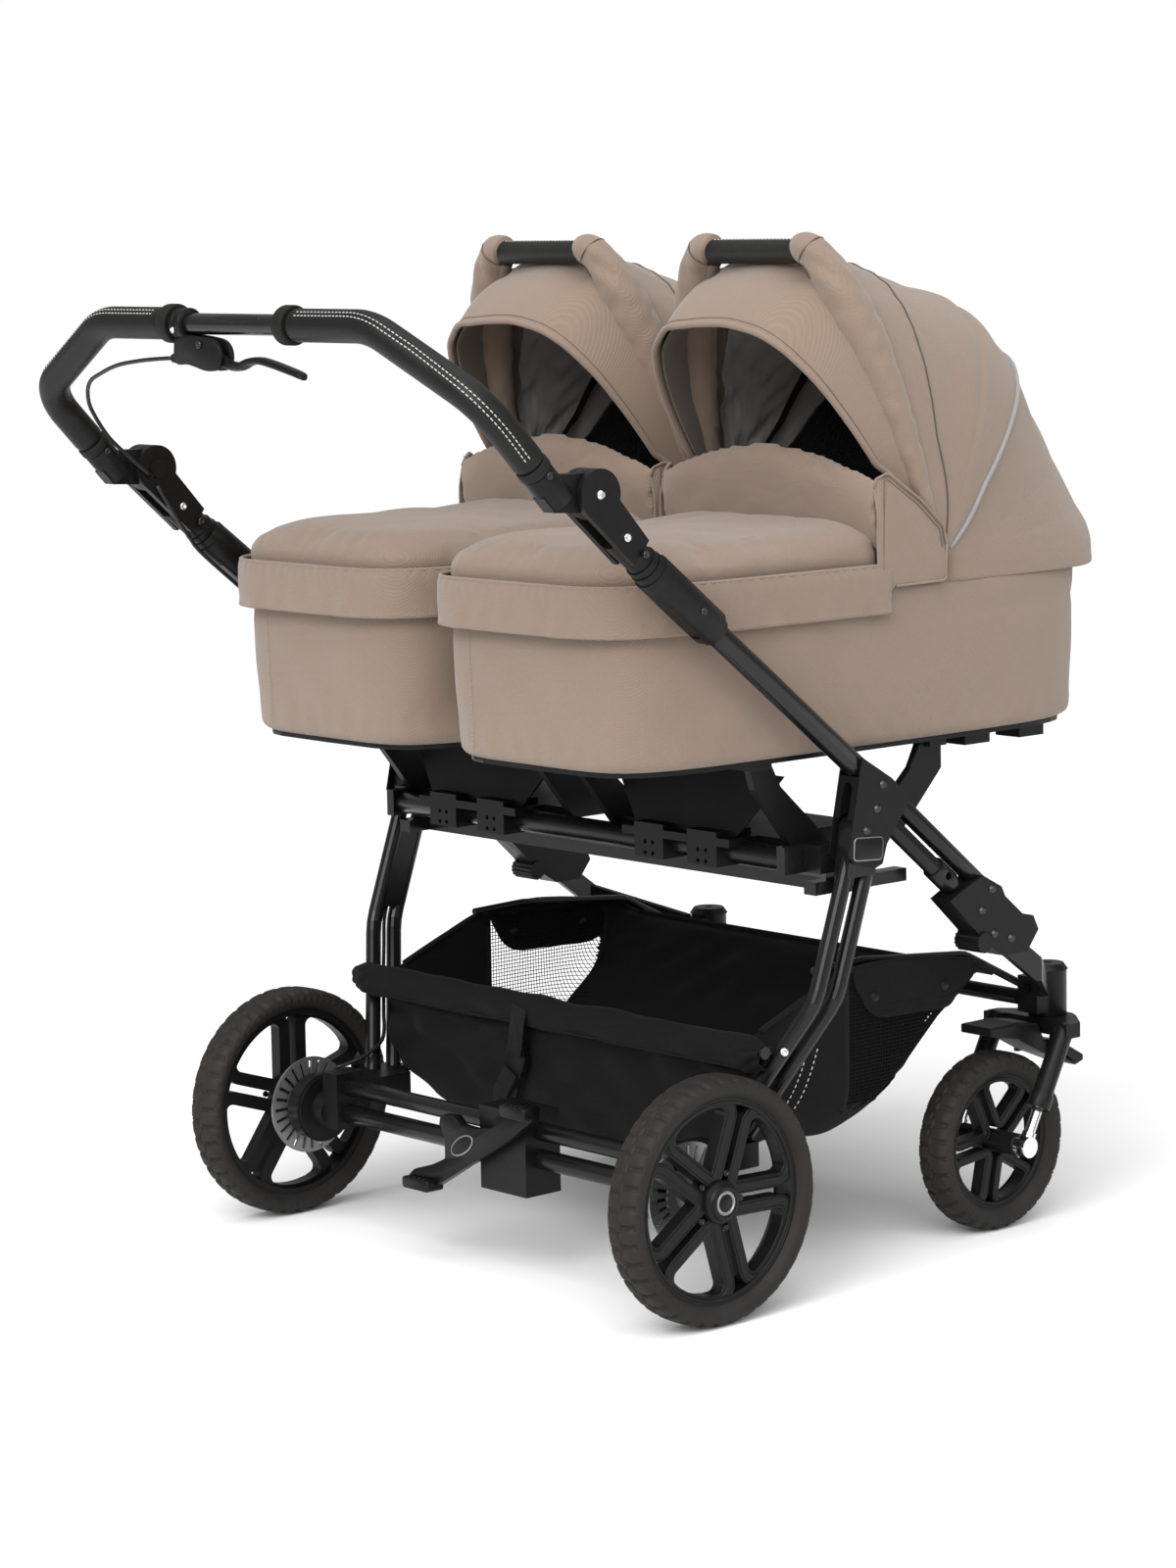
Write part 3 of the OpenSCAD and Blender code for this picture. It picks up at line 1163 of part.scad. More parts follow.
// Profile across the hood at share u of the way round, from side to side
function fan_profile(u, hw, r, n) = let (
    low = asin(pow(hood_root / r, n / 2)), a = low + (180 - 2 * low) * u)
    [-hw * sign(cos(a)) * pow(abs(cos(a)), 2 / n), r * pow(sin(a), 2 / n)];
function fan_point(p, angle) = [p[0], pivot_y + p[1] * cos(angle), pivot_z + p[1] * sin(angle)];
function step_angle(ends, k, rows) = ends[0] + (ends[1] - ends[0]) * k / rows;
function rear_grid(grow) = [for (k = [0:rear_rows]) let (a = step_angle(rear_angles, k, rear_rows))
    [for (j = [0:hood_cols]) fan_point(fan_profile(j / hood_cols, rear_half - grow,
        (hood_r - grow) * lookup(a, rear_table), lookup(a, rear_n_table)), a)]];
function front_grid(grow) = concat(
    [for (k = [0:front_rows]) let (a = step_angle(front_angles, k, front_rows))
        [for (j = [0:hood_cols]) fan_point(fan_profile(j / hood_cols, hood_half - grow,
            hood_r * lookup(a, front_table) - grow, hood_n), a)]],
    [for (k = [1:visor_rows]) let (v = k / visor_rows,
        top = (hood_r * lookup(front_angles[1], front_table) - grow) * (1 - v + v * visor_end[1]))
        [for (j = [0:hood_cols]) let (
            p = fan_profile(j / hood_cols, hood_half - grow, top, hood_n * (1 - v) + visor_end[2] * v),
            free = v * min(1, p[1] / visor_root))
            fan_point([p[0] * (1 - free + free * visor_end[0]), p[1]], front_angles[1] + free * visor_turn)]]);
module hood_rear() sheet(rear_grid(0), rear_grid(hood_t));

grip_half = 68;
carry_d = 27;
hoop_angle = 108.4;
hoop_d = 16;
hoop_bend = 38;
hoop_x = stay_x - seat - hoop_d / 2;
hoop_points = [[hoop_x, 0], [hoop_x, 44], [150, 96], [144, 170], [126, 240], [93, 297], [68, 350]];
slot_half = 97;
slot_t = 19;
slot_share = 0.85;
module in_hoop_plane() translate([0, pivot_y, pivot_z]) rotate([hoop_angle, 0, 0]) children();
module hood_front() difference() {
    sheet(front_grid(0), front_grid(hood_t));
    in_hoop_plane() box([-slot_half, hood_r * slot_share, -slot_t], [slot_half, hood_r + carry_d, slot_t]);
}
module carry_handle() {
    in_hoop_plane() {
        half = [for (p = hoop_points) [p[0], p[1], 0]];
        other = [for (i = [len(half) - 1:-1:0]) flip(half[i], -1)];
        pipe(concat(half, other), hoop_d / 2, hoop_bend, [0, 0, 1]);
        translate([-grip_half, hoop_points[len(half) - 1][1], 0]) rotate([0, 90, 0])
            cylinder(d = carry_d, h = 2 * grip_half);
    }
    both_sides() {
        cross_pin(hoop_x - hoop_d / 2, hoop_x + hoop_d / 2, [pivot_y, pivot_z], stay_w / 2);
        cross_pin(stay_x - stay_t, stay_x + stay_t, [pivot_y, pivot_z], hinge_pin_d / 2);
    }
}
module tub_right() color(fabric) at_cot(1) tub();
module tub_left() color(fabric) at_cot(-1) tub();
module cot_base_right() color(black_plastic) at_cot(1) cot_base();
module cot_base_left() color(black_plastic) at_cot(-1) cot_base();
module apron_right() color(fabric) at_cot(1) apron();
module apron_left() color(fabric) at_cot(-1) apron();
module mattress_right() color(nylon) at_cot(1) mattress();
module mattress_left() color(nylon) at_cot(-1) mattress();
module hood_rear_right() color(fabric) at_cot(1) hood_rear();
module hood_rear_left() color(fabric) at_cot(-1) hood_rear();
module hood_front_right() color(fabric) at_cot(1) hood_front();
module hood_front_left() color(fabric) at_cot(-1) hood_front();
module carry_handle_right() color(black_plastic) at_cot(1) carry_handle();
module carry_handle_left() color(black_plastic) at_cot(-1) carry_handle();

side_plates();
cross_members();
front_legs();
front_brackets();
front_arms();
swivel_housings();
cot_cradles();
frame_rivets();
basket();
push_tubes();
tube_sleeves();
lower_knuckles();
knuckle_pins();
cable_run();
handle_tube();
handle_grips();
grip_collars();
upper_knuckles();
lever_bracket();
cable_loop();
brake_lever();
button_left();
button_right();
rear_legs();
rear_axle();
axle_castings();
brake_housings();
basket_rail();
leg_cable();
brake_pedal();
rear_tyre_left();
rear_tyre_right();
rear_rim_left();
rear_rim_right();
rear_hub_left();
rear_hub_right();
fork_left();
fork_right();
slider_left();
slider_right();
front_tyre_left();
front_tyre_right();
front_rim_left();
front_rim_right();
swivel_lock_left();
swivel_lock_right();
tub_left();
tub_right();
cot_base_left();
cot_base_right();
apron_left();
apron_right();
mattress_left();
mattress_right();
hood_rear_left();
hood_rear_right();
hood_front_left();
hood_front_right();
carry_handle_left();
carry_handle_right();
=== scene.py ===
import math
from functools import partial

import bpy
import numpy as np
from mathutils import Matrix


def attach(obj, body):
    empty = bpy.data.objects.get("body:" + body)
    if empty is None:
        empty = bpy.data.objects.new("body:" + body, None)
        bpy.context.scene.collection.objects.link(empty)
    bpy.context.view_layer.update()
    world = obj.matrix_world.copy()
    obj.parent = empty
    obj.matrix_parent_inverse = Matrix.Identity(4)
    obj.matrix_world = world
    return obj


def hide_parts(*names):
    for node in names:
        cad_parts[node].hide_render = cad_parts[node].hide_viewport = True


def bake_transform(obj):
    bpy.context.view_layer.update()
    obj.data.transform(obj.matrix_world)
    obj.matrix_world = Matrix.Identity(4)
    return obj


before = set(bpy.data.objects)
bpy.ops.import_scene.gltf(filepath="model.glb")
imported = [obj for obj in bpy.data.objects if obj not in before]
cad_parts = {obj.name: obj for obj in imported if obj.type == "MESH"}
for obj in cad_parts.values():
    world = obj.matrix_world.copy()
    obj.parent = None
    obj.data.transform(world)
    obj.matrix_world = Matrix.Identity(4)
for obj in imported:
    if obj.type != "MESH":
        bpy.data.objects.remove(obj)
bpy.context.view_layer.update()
middle = 0.174225  # the part's frame starts this far ahead of the rear axle
sides = {"right": 1, "left": -1}
cotAt = {"x": 0.175, "y": 0.273 - middle}  # middle of a cot


def work(points):
    # millimetres measured from the rear axle line, to metres in the part's frame
    return np.asarray(points, float) / 1000 - np.array([0, middle, 0])


def smooth01(t):
    # 0 below 0, 1 above 1, an S curve between
    t = np.clip(t, 0, 1)
    return t * t * (3 - 2 * t)


def bump(x, at, width):
    # bell of height 1 at a place
    return np.exp(-((x - at) / width) ** 2)


def ripple(a, b, seed, count=7):
    # smooth noise between about -1 and 1: a sum of sine waves with fixed directions and phases
    rng = np.random.default_rng(seed)
    k = rng.uniform(0.4, 1.6, (count, 2)) * rng.choice([-1, 1], (count, 2))
    p = rng.uniform(0, 2 * np.pi, count)
    return sum(np.sin(2 * np.pi * (k[i, 0] * a + k[i, 1] * b) + p[i]) for i in range(count)) / count ** 0.5 / 1.4


def unit(v):
    return v / np.maximum(np.linalg.norm(v, axis=-1, keepdims=True), 1e-12)


def lengthOf(path):
    return float(np.linalg.norm(np.diff(path, axis=0), axis=1).sum())


def evenly(path, count):
    # points at even steps of length along a polyline
    run = np.concatenate([[0], np.cumsum(np.linalg.norm(np.diff(path, axis=0), axis=1))])
    s = np.linspace(0, run[-1], count)
    return np.stack([np.interp(s, run, path[:, k]) for k in range(path.shape[1])], -1)


def throughPoints(points, count):
    # smooth curve through the points: cubic pieces whose slopes come from the neighbours
    p = np.asarray(points, float)
    wide = np.vstack([2 * p[0] - p[1], p, 2 * p[-1] - p[-2]])
    t = np.concatenate([[0], np.cumsum(np.linalg.norm(np.diff(wide, axis=0), axis=1) ** 0.5)])
    slope = (wide[2:] - wide[:-2]) / (t[2:] - t[:-2])[:, None]
    knots = t[1:-1]
    s = np.linspace(knots[0], knots[-1], count * 6)
    i = np.clip(np.searchsorted(knots, s, "right") - 1, 0, len(p) - 2)
    h = (knots[i + 1] - knots[i])[:, None]
    u = (s - knots[i])[:, None] / h
    curve = ((2 * u**3 - 3 * u**2 + 1) * p[i] + (u**3 - 2 * u**2 + u) * h * slope[i]
             + (3 * u**2 - 2 * u**3) * p[i + 1] + (u**3 - u**2) * h * slope[i + 1])
    return evenly(curve, count)


def bent(points, radius, steps=8):
    # polyline with each corner replaced by an arc of the bend radius
    p = np.asarray(points, float)
    out = [p[:1]]
    radii = np.broadcast_to(radius, len(p) - 2)
    for i in range(1, len(p) - 1):
        radius = radii[i - 1]
        a, b = unit(p[i] - p[i - 1]), unit(p[i + 1] - p[i])
        turn = math.acos(float(np.clip(a @ b, -1, 1)))
        side = unit(b - (a @ b) * a)
        k = turn * np.linspace(0, 1, steps + 1)[:, None]
        out.append(p[i] - a * radius * math.tan(turn / 2) + radius * (np.sin(k) * a + (1 - np.cos(k)) * side))
    return np.vstack(out + [p[-1:]])


def sweep(path, radius, count, ref=None):
    # ring of points at each place on a path, in the plane square to it
    path = np.asarray(path, float)
    run = unit(np.gradient(path, axis=0))
    if ref is None:
        ref = np.eye(3)[np.argmin(np.abs(run).max(0))]
    u = unit(np.cross(run, np.broadcast_to(ref, run.shape)))
    v = np.cross(run, u)
    a = 2 * np.pi * np.arange(count) / count
    r = np.broadcast_to(np.asarray(radius, float), len(path))[:, None, None]
    return path[:, None] + r * (np.cos(a)[:, None] * u[:, None] + np.sin(a)[:, None] * v[:, None])


def quads(rows, cols, wrapRows=False, wrapCols=False):
    i, j = np.meshgrid(np.arange(rows - (not wrapRows)), np.arange(cols - (not wrapCols)), indexing="ij")
    corner = np.stack([np.stack([i, j], -1), np.stack([i, j + 1], -1),
                       np.stack([i + 1, j + 1], -1), np.stack([i + 1, j], -1)], -2).reshape(-1, 4, 2)
    return corner, (corner[..., 0] % rows) * cols + corner[..., 1] % cols


def turnedOut(points, faces):
    # faces turned round where the solid they close has a negative volume
    p = points[faces[:, :4]]
    volume = np.einsum("ij,ij->", p[:, 0], np.cross(p[:, 1], p[:, 2]) + np.cross(p[:, 2], p[:, 3]))
    return faces if volume > 0 else faces[:, ::-1]


def addObject(name, data):
    obj = bpy.data.objects.new(name, data)
    bpy.context.scene.collection.objects.link(obj)
    return obj


def meshPiece(name, points, faces, material, body, slot, uv=None, replaces=()):
    mesh = bpy.data.meshes.new(name)
    mesh.from_pydata(np.asarray(points, float).tolist(), [], [list(map(int, f)) for f in faces])
    if uv is not None:
        mesh.uv_layers.new(name="UVMap").data.foreach_set("uv", np.asarray(uv, np.float32).ravel())
    mesh.polygons.foreach_set("use_smooth", np.full(len(mesh.polygons), True))
    mesh.materials.append(material)
    mesh.update()
    piece = addObject(name, mesh)
    if body:
        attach(piece, body)
    if replaces:
        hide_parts(*replaces)
    return piece


def gridPiece(name, grid, material, body, slot, ring=False, torus=False, wrapCols=False, flip=False, replaces=()):
    # surface from a grid of points, uv in metres; a ring is wrapped across and capped, a torus wrapped both ways
    rows, cols = grid.shape[:2]
    corner, faces = quads(rows, cols, torus, ring or torus or wrapCols)
    points = grid.reshape(-1, 3)
    down = np.linalg.norm(np.diff(grid, axis=0, append=grid[:1]), axis=-1).mean(1)
    across = np.linalg.norm(np.diff(grid, axis=1, append=grid[:, :1]), axis=-1).mean(0)
    v = np.concatenate([[0], np.cumsum(down)])
    u = np.concatenate([[0], np.cumsum(across)])
    uv = np.stack([u[corner[..., 1]], v[corner[..., 0]]], -1)
    if ring or torus:
        outward = turnedOut(points, faces)
        if outward is not faces:
            faces, uv = outward, uv[:, ::-1]
    elif flip:
        faces, uv = faces[:, ::-1], uv[:, ::-1]
    allFaces, uv = faces.tolist(), uv.reshape(-1, 2)
    if ring:
        ends = [list(range(cols)), list(range((rows - 1) * cols, rows * cols))]
        first = allFaces[0]
        forward = (first.index(1) - first.index(0)) % 4 == 1
        ends[0 if forward else 1].reverse()
        allFaces += ends
        uv = np.vstack([uv, np.zeros((2 * cols, 2))])
    return meshPiece(name, points, allFaces, material, body, slot, uv, replaces)


def tube(name, path, radius, material, body, slot, count, ref=None, replaces=()):
    return gridPiece(name, sweep(path, radius, count, ref), material, body, slot, ring=True, replaces=replaces)


def solidify(piece, thickness, offset=-1.0):
    wall = piece.modifiers.new("Wall", "SOLIDIFY")
    wall.thickness, wall.offset = thickness, offset
    wall.use_even_offset = False  # an even wall throws spikes where a posed sheet folds tight


def subdivide(piece):
    sub = piece.modifiers.new("Subdivision", "SUBSURF")
    sub.levels = sub.render_levels = 1


edgeBevel = {"segments": 2, "angle": 38, "weld": 2e-5}


def roundEdges(piece, width, weld=False):
    if weld:
        piece.modifiers.new("Weld", "WELD").merge_threshold = edgeBevel["weld"]
    edge = piece.modifiers.new("Edges", "BEVEL")
    edge.width, edge.segments, edge.limit_method = width, edgeBevel["segments"], "ANGLE"
    edge.angle_limit, edge.harden_normals, edge.use_clamp_overlap = math.radians(edgeBevel["angle"]), False, True


def placed(right, up, back, at):
    # matrix with three directions and a place as its columns
    return Matrix(np.vstack([np.column_stack([right, up, back, at]), (0, 0, 0, 1)]).tolist())


cameraView = {"at": (3.474, -3.101225, 1.1662), "yaw": -48.42, "pitch": -7.92, "roll": -1.05, "lens": 96.4845,
              "sensor": 36, "far": 60}


def placeCamera():
    yaw, pitch, roll = (math.radians(cameraView[k]) for k in ("yaw", "pitch", "roll"))
    ahead = np.array([math.cos(pitch) * math.sin(yaw), math.cos(pitch) * math.cos(yaw), math.sin(pitch)])
    level = np.array([math.cos(yaw), -math.sin(yaw), 0])
    above = np.cross(level, ahead)
    right = math.cos(roll) * level + math.sin(roll) * above
    up = math.cos(roll) * above - math.sin(roll) * level
    data = bpy.data.cameras.new("photoCamera")
    data.sensor_width, data.lens, data.clip_end = cameraView["sensor"], cameraView["lens"], cameraView["far"]
    eye = addObject("photoCamera", data)
    eye.matrix_world = placed(right, up, -ahead, cameraView["at"])
    bpy.context.scene.camera = eye


room = {"glow": 0.42, "paper": 1.0, "spread": 70}
lights = {
    "key": {"at": (1.6, -3.6, 3.0), "aim": (0, 0, 0.6), "size": 1.8, "power": 70},
    "fill": {"at": (4.0, 0.6, 2.4), "aim": (0, 0, 0.6), "size": 2.2, "power": 30},
    "top": {"at": (0.2, 0.4, 4.2), "aim": (0, 0, 0.5), "size": 3.0, "power": 40},
    "sky": {"at": (1.5, -2.6, 3.2), "aim": (0, 0, 0.4), "size": 0, "power": 3.0},
}


def placeLights():
    for name, spec in lights.items():
        lamp = bpy.data.lights.new(name, "AREA" if spec["size"] else "SUN")
        lamp.energy = spec["power"]
        if spec["size"]:
            lamp.size = spec["size"]
        else:
            lamp.angle = math.radians(room["spread"])  # even light over the whole floor
        at = np.array(spec["at"])
        back = unit(at - spec["aim"])
        side = unit(np.cross((0, 0, 1), back))
        addObject(name, lamp).matrix_world = placed(side, np.cross(back, side), back, at)
    world = bpy.data.worlds.new("studio")
    world.use_nodes = True
    tree = world.node_tree
    sky = tree.nodes["Background"]
    sky.inputs[0].default_value = (1, 1, 1, 1)
    seen = tree.nodes.new("ShaderNodeLightPath").outputs["Is Camera Ray"]
    grow = tree.nodes.new("ShaderNodeMapRange")  # white paper behind, a dimmer room around
    tree.links.new(seen, grow.inputs["Value"])
    grow.inputs["To Min"].default_value, grow.inputs["To Max"].default_value = room["glow"], room["paper"]
    tree.links.new(grow.outputs["Result"], sky.inputs[1])
    bpy.context.scene.world = world
    bpy.context.scene.view_settings.view_transform = "Standard"


placeCamera()
placeLights()
print("camera and lights placed")


def link(tree, a, b):
    tree.links.new(a, b)


def addNode(tree, kind, **values):
    n = tree.nodes.new(kind)
    for key, value in values.items():
        if hasattr(n, key):
            setattr(n, key, value)
        else:
            n.inputs[key.replace("_", " ")].default_value = value
    return n


def newGroup(name, inputs, outputs):
    tree = bpy.data.node_groups.new(name, "ShaderNodeTree")
    for kind, label, value in inputs:
        socket = tree.interface.new_socket(label, in_out="INPUT", socket_type="NodeSocket" + kind)
        if value is not None:
            socket.default_value = value
    for kind, label in outputs:
        tree.interface.new_socket(label, in_out="OUTPUT", socket_type="NodeSocket" + kind)
    return tree, tree.nodes.new("NodeGroupInput"), tree.nodes.new("NodeGroupOutput")


def calc(tree, op, a, b=None):
    n = tree.nodes.new("ShaderNodeMath")
    n.operation = op
    for i, value in enumerate((a, b)):
        if value is None:
            continue
        if isinstance(value, (int, float)):
            n.inputs[i].default_value = value
        else:
            link(tree, value, n.inputs[i])
    return n.outputs[0]


def mixColour(tree, factor, a, b):
    n = tree.nodes.new("ShaderNodeMix")
    n.data_type = "RGBA"
    for socket, value in ((n.inputs[0], factor), (n.inputs[6], a), (n.inputs[7], b)):
        if isinstance(value, (int, float, tuple)):
            socket.default_value = value
        else:
            link(tree, value, socket)
    return n.outputs[2]


def noise(tree, vector, scale, detail):
    n = addNode(tree, "ShaderNodeTexNoise", Scale=scale, Detail=detail, Roughness=0.55)
    link(tree, vector, n.inputs["Vector"])
    return n.outputs["Fac"]


def makeWeave():
    # two sets of threads crossing on the slant, with soft uneven dye, finer slub, and painted shade darkening the low
    # parts between the threads
    tree, gin, gout = newGroup("weave", [("Vector", "Vector", None), ("Float", "Threads", 600.0),
        ("Color", "Colour", (0.5, 0.5, 0.5, 1)), ("Color", "Dark", (0.2, 0.2, 0.2, 1)), ("Float", "Uneven", 0.25)],
        [("Color", "Colour"), ("Float", "Height"), ("Float", "Rough")])
    add, less, times = (partial(calc, tree, op) for op in ("ADD", "SUBTRACT", "MULTIPLY"))
    vector = gin.outputs["Vector"]
    sep = tree.nodes.new("ShaderNodeSeparateXYZ")
    link(tree, vector, sep.inputs[0])
    k = times(gin.outputs["Threads"], 6.2832)
    x, y, z = sep.outputs
    one = calc(tree, "SINE", times(add(add(x, y), z), k))
    two = calc(tree, "SINE", times(add(less(x, y), times(z, 0.6)), k))
    height = calc(tree, "MAXIMUM", times(one, 0.6), two)
    slub = noise(tree, vector, 420.0, 2.0)
    dye = noise(tree, vector, 9.0, 3.0)
    patchy = times(add(times(slub, 0.6), times(dye, 0.5)), gin.outputs["Uneven"])
    # mix towards the dark colour: painted shade in the low parts between the threads, plus real uneven dye
    valleyShadeAndDye = add(times(less(1.0, height), 0.10), patchy)
    link(tree, mixColour(tree, valleyShadeAndDye, gin.outputs["Colour"], gin.outputs["Dark"]), gout.inputs["Colour"])
    link(tree, add(height, times(slub, 0.8)), gout.inputs["Height"])
    link(tree, add(0.78, times(slub, 0.16)), gout.inputs["Rough"])
    return tree


def makeGrain():
    # moulded grain: fine pebble with a slow change of gloss, and pale rubbed specks
    tree, gin, gout = newGroup("grain", [("Vector", "Vector", None), ("Float", "Scale", 500.0),
        ("Color", "Colour", (0.02, 0.02, 0.02, 1)), ("Color", "Rubbed", (0.08, 0.08, 0.08, 1)),
        ("Float", "Rough", 0.45), ("Float", "Spread", 0.12)],
        [("Color", "Colour"), ("Float", "Height"), ("Float", "Rough")])
    vector = gin.outputs["Vector"]
    pebble = addNode(tree, "ShaderNodeTexVoronoi", feature="SMOOTH_F1")
    link(tree, vector, pebble.inputs["Vector"])
    link(tree, gin.outputs["Scale"], pebble.inputs["Scale"])
    slow = noise(tree, vector, 14.0, 4.0)
    specks = noise(tree, vector, 160.0, 2.0)
    rub = calc(tree, "MULTIPLY", calc(tree, "POWER", slow, 3.0), calc(tree, "POWER", specks, 2.0))
    link(tree, mixColour(tree, rub, gin.outputs["Colour"], gin.outputs["Rubbed"]), gout.inputs["Colour"])
    link(tree, pebble.outputs["Distance"], gout.inputs["Height"])
    change = calc(tree, "MULTIPLY", calc(tree, "SUBTRACT", slow, 0.5), gin.outputs["Spread"])
    link(tree, calc(tree, "ADD", gin.outputs["Rough"], change), gout.inputs["Rough"])
    return tree


def makeDust():
    # pale dust that lies thicker on faces turned up
    tree, gin, gout = newGroup("dust", [("Vector", "Vector", None), ("Color", "Colour", (0.1, 0.1, 0.1, 1)),
        ("Color", "Dust", (0.3, 0.27, 0.24, 1)), ("Float", "Amount", 0.1)], [("Color", "Colour")])
    shape = tree.nodes.new("ShaderNodeNewGeometry")
    sep = tree.nodes.new("ShaderNodeSeparateXYZ")
    link(tree, shape.outputs["Normal"], sep.inputs[0])
    up = calc(tree, "ADD", calc(tree, "MULTIPLY", sep.outputs[2], 0.35), 0.5)
    cloud = noise(tree, gin.outputs["Vector"], 22.0, 5.0)
    mask = calc(tree, "MULTIPLY", calc(tree, "MULTIPLY", up, calc(tree, "POWER", cloud, 1.6)), gin.outputs["Amount"])
    link(tree, mixColour(tree, mask, gin.outputs["Colour"], gin.outputs["Dust"]), gout.inputs["Colour"])
    return tree


weaveGroup, grainGroup, dustGroup = makeWeave(), makeGrain(), makeDust()


def startMaterial(name, **shader):
    material = bpy.data.materials.new(name)
    material.use_nodes = True
    tree = material.node_tree
    bsdf = tree.nodes["Principled BSDF"]
    for key, value in shader.items():
        bsdf.inputs[key.replace("_", " ")].default_value = value
    return material, tree, bsdf, tree.nodes.new("ShaderNodeTexCoord").outputs["Object"]


def useGroup(tree, group, vector, **values):
    n = tree.nodes.new("ShaderNodeGroup")
    n.node_tree = group
    for key, value in values.items():
        n.inputs[key].default_value = value
    link(tree, vector, n.inputs["Vector"])
    return n


def surface(tree, bsdf, group, colour, strength, depth):
    # a colour, and a group's roughness and height, into the shader
    bumps = addNode(tree, "ShaderNodeBump", Strength=strength, Distance=depth)
    link(tree, group.outputs["Height"], bumps.inputs["Height"])
    for value, socket in ((colour, "Base Color"), (group.outputs["Rough"], "Roughness"), (bumps.outputs[0], "Normal")):
        link(tree, value, bsdf.inputs[socket])


def cloth(name, colour, dark, threads, uneven, strength, depth, **shader):
    material, tree, bsdf, place = startMaterial(name, **shader)
    g = useGroup(tree, weaveGroup, place, Threads=threads, Uneven=uneven, Colour=(*colour, 1), Dark=(*dark, 1))
    surface(tree, bsdf, g, g.outputs["Colour"], strength, depth)
    return material


def moulded(name, colour, rubbed, rough, scale, strength, depth, spread, dust, **shader):
    material, tree, bsdf, place = startMaterial(name, **shader)
    g = useGroup(tree, grainGroup, place, Scale=scale, Rough=rough, Spread=spread, Colour=(*colour, 1),
                 Rubbed=(*rubbed, 1))
    d = useGroup(tree, dustGroup, place, Amount=dust)
    link(tree, g.outputs["Colour"], d.inputs["Colour"])
    surface(tree, bsdf, g, d.outputs["Colour"], strength, depth)
    return material


beige, beigeDark = (0.226, 0.164, 0.122), (0.135, 0.095, 0.069)
beigeTwill = cloth("beigeTwill", beige, beigeDark, 420.0, 0.34, 0.45, 0.0005, Sheen_Weight=0.25, Sheen_Roughness=0.5)
beigeSeam = cloth("beigeSeam", (0.085, 0.064, 0.05), (0.05, 0.038, 0.03), 900.0, 0.3, 0.5, 0.0003)
liningGrey = cloth("liningGrey", (0.30, 0.285, 0.27), (0.12, 0.112, 0.105), 700.0, 0.3, 0.3, 0.0003, Sheen_Weight=0.2)
liningTaupe = cloth("liningTaupe", (0.15, 0.116, 0.092), (0.07, 0.055, 0.044), 700.0, 0.3, 0.3, 0.0003,
                    Sheen_Weight=0.2)
liningMesh = cloth("liningMesh", (0.014, 0.0135, 0.013), (0.004, 0.004, 0.004), 260.0, 0.4, 0.9, 0.001,
                   Specular_IOR_Level=0.25)
pipingGrey = cloth("pipingGrey", (0.24, 0.238, 0.24), (0.15, 0.148, 0.15), 1500.0, 0.2, 0.3, 0.0002, Sheen_Weight=0.3)
blackNylon = cloth("blackNylon", (0.0058, 0.0056, 0.0055), (0.002, 0.002, 0.002), 700.0, 0.35, 0.4, 0.0004,
                   Sheen_Weight=0.02, Sheen_Roughness=0.4, Specular_IOR_Level=0.15)
webbing = cloth("webbing", (0.0062, 0.006, 0.0058), (0.0025, 0.0025, 0.0025), 330.0, 0.3, 0.8, 0.0008,
                Sheen_Weight=0.02, Specular_IOR_Level=0.18)
beigeThread = cloth("beigeThread", (0.36, 0.28, 0.22), (0.2, 0.15, 0.115), 1600.0, 0.2, 0.4, 0.0002)
whiteThread = cloth("whiteThread", (0.62, 0.60, 0.57), (0.35, 0.33, 0.31), 1600.0, 0.2, 0.4, 0.0002)
satinMetal = moulded("satinMetal", (0.0042, 0.0042, 0.0044), (0.02, 0.02, 0.02), 0.28, 1400.0, 0.06, 0.0001, 0.1, 0.01,
                     Specular_IOR_Level=0.25, Coat_Weight=0.1, Coat_Roughness=0.12)
glossTube = moulded("glossTube", (0.004, 0.004, 0.0042), (0.02, 0.02, 0.02), 0.2, 1800.0, 0.03, 0.0001, 0.08, 0.01,
                    Specular_IOR_Level=0.3, Coat_Weight=0.15, Coat_Roughness=0.08)
blackPlastic = moulded("blackPlastic", (0.0042, 0.0042, 0.0042), (0.03, 0.03, 0.03), 0.38, 900.0, 0.14, 0.0002, 0.16,
                       0.015, Specular_IOR_Level=0.17)
softRubber = moulded("softRubber", (0.0058, 0.0056, 0.0054), (0.03, 0.029, 0.028), 0.58, 1200.0, 0.2, 0.0002, 0.14,
                     0.03, Specular_IOR_Level=0.2)
tyreRubber = moulded("tyreRubber", (0.0115, 0.0107, 0.0098), (0.045, 0.042, 0.038), 0.66, 700.0, 0.3, 0.0003, 0.15,
                     0.08, Specular_IOR_Level=0.22)
leatherette = moulded("leatherette", (0.0048, 0.0047, 0.0046), (0.03, 0.03, 0.029), 0.44, 620.0, 0.5, 0.0005, 0.15,
                      0.015, Specular_IOR_Level=0.22)
cableJacket = moulded("cableJacket", (0.007, 0.007, 0.007), (0.03, 0.03, 0.03), 0.42, 1500.0, 0.1, 0.0001, 0.1, 0.02,
                      Specular_IOR_Level=0.35)
chrome = moulded("chrome", (0.74, 0.74, 0.75), (0.5, 0.5, 0.5), 0.14, 300.0, 0.02, 0.0001, 0.08, 0.02, Metallic=1.0)
darkSteel = moulded("darkSteel", (0.05, 0.05, 0.052), (0.12, 0.12, 0.12), 0.3, 600.0, 0.06, 0.0001, 0.12, 0.02,
                    Metallic=0.9)
greySteel = moulded("greySteel", (0.30, 0.30, 0.305), (0.2, 0.2, 0.2), 0.42, 500.0, 0.08, 0.0001, 0.15, 0.06,
                    Metallic=0.85)

